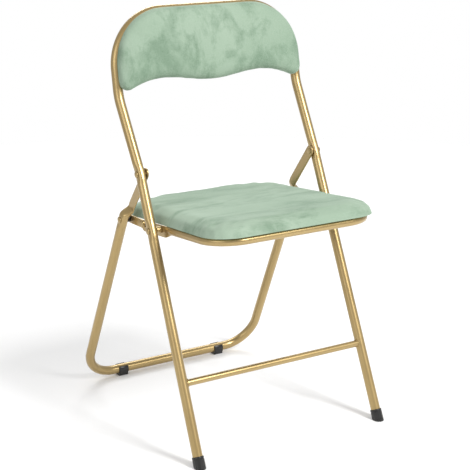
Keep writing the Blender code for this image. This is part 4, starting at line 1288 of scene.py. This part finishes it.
# %% [markdown]
# ### Boards and backing cloth
# Behind each pad the board is closed by a thin black cloth, stapled near its edge. The boards show only
# through the screw holes, so they keep the frame's shape and get the plywood finish. The cloth is pulled
# flat, so it keeps its shape too.

# %% Boards and covers
for node, finish in (("seat_board", plywood), ("backrest_board", plywood), ("seat_back_cover", backing),
                     ("backrest_back_cover", backing)):
    nodes[node].data.materials.clear()
    nodes[node].data.materials.append(finish)
print("dressed the boards and covers")


# %% Staples
STAPLE_SPACING = 0.036
STAPLE_HALF_WIDTH = 0.0045
STAPLE_INSET = 0.006


def staple_line(outline, spacing):
    """Evenly spaced (place, direction) pairs along a bmesh outline."""
    face = outline.faces[:][0]
    corners = [vert.co.copy() for vert in face.verts]
    outline.free()
    places = []
    left = spacing / 2
    for start, end in zip(corners, corners[1:] + corners[:1]):
        length = (end - start).length
        while left < length:
            places.append((start + (end - start) * left / length, (end - start).normalized()))
            left += spacing
        left -= length
    return places


def make_staples(name, outline, holder, body):
    """One wire staple, repeated round the cloth's edge: a crown with its two ends bent into the board."""
    builder = bmesh.new()
    sunk = Vector((0, 0, 0.0004))
    proud = Vector((0, 0, -0.0006))
    for place, along in staple_line(outline, STAPLE_SPACING):
        half = along * STAPLE_HALF_WIDTH
        corners = [place - half + sunk, place - half + proud, place + half + proud, place + half + sunk]
        path = rounded_path(corners, [0.0005, 0.0005], [2, 2])
        across = along.cross(Vector((0, 0, 1)))
        for loop in sweep(builder, [(point, 0.0005, 0.0003, 0.6) for point in path], across=across, sides=6):
            bmesh.ops.contextual_create(builder, geom=loop)
    bmesh.ops.transform(builder, matrix=holder, verts=builder.verts[:])
    bmesh.ops.recalc_face_normals(builder, faces=builder.faces[:])
    finish_piece(name, builder, zinc, body)


make_staples("seat_staples", seat_outline(BOARD_INSET + STAPLE_INSET, SEAT_LOW), SEAT_MATRIX, "seat")
make_staples("back_staples", back_outline(BACK_BOARD_INSET + STAPLE_INSET, BACK_LOW), BACK_MATRIX, "frame")

# %% [markdown]
# ## Floor and light
# A round pale floor and a white backdrop make a plain studio. One soft lamp stands high at the front, a
# little to the right, and draws the long highlight down the tubes. A weaker one on the left keeps the
# shadows open, and one behind lifts the rims.

# %% Floor
FLOOR_RADIUS = 2.6


def make_floor():
    builder = bmesh.new()
    bmesh.ops.create_circle(builder, cap_ends=True, segments=96, radius=FLOOR_RADIUS)
    mesh = bpy.data.meshes.new("floor")
    builder.to_mesh(mesh)
    builder.free()
    floor = bpy.data.objects.new("floor", mesh)
    scene.collection.objects.link(floor)
    finish, tree, shader = finish_material("pale_floor", {"Specular IOR Level": 0.2})
    skin = add_skin(tree, 3, 0.70, 0.80, 300)
    colour = blend_colours(tree, skin.outputs["Height"], (0.93, 0.93, 0.93), (0.95, 0.95, 0.95))
    tree.links.new(colour, shader.inputs["Base Color"])
    tree.links.new(skin.outputs["Value"], shader.inputs["Roughness"])
    mesh.materials.append(finish)


make_floor()


# %% Lights
def add_lamp(name, place, aim, size, power):
    data = bpy.data.lights.new(name, "AREA")
    data.shape = "RECTANGLE"
    data.size, data.size_y = size
    data.energy = power
    lamp = bpy.data.objects.new(name, data)
    lamp.location = place
    lamp.rotation_euler = (Vector(place) - Vector(aim)).to_track_quat("Z", "Y").to_euler()
    scene.collection.objects.link(lamp)


def make_world(strength):
    """Even white light, and a white backdrop where the camera looks straight at it."""
    world = bpy.data.worlds.new("studio")
    scene.world = world
    world.use_nodes = True
    tree = world.node_tree
    shade = tree.nodes["Background"]
    shade.inputs["Color"].default_value = (1, 1, 1, 1)
    seen = tree.nodes.new("ShaderNodeLightPath").outputs["Is Camera Ray"]
    level = add(tree, "MapRange", {"To Min": strength, "To Max": 1.0}, {"Value": seen})
    tree.links.new(level.outputs["Result"], shade.inputs["Strength"])


add_lamp("key", (1.0, -2.8, 2.8), (0, 0, 0.4), (0.9, 1.6), 120)
add_lamp("fill", (-2.9, -1.2, 1.8), (0, 0, 0.4), (2.0, 2.0), 22)
add_lamp("rim", (1.0, 2.6, 2.4), (0, 0, 0.5), (2.0, 1.0), 40)
make_world(0.60)
scene.view_settings.view_transform = "Standard"
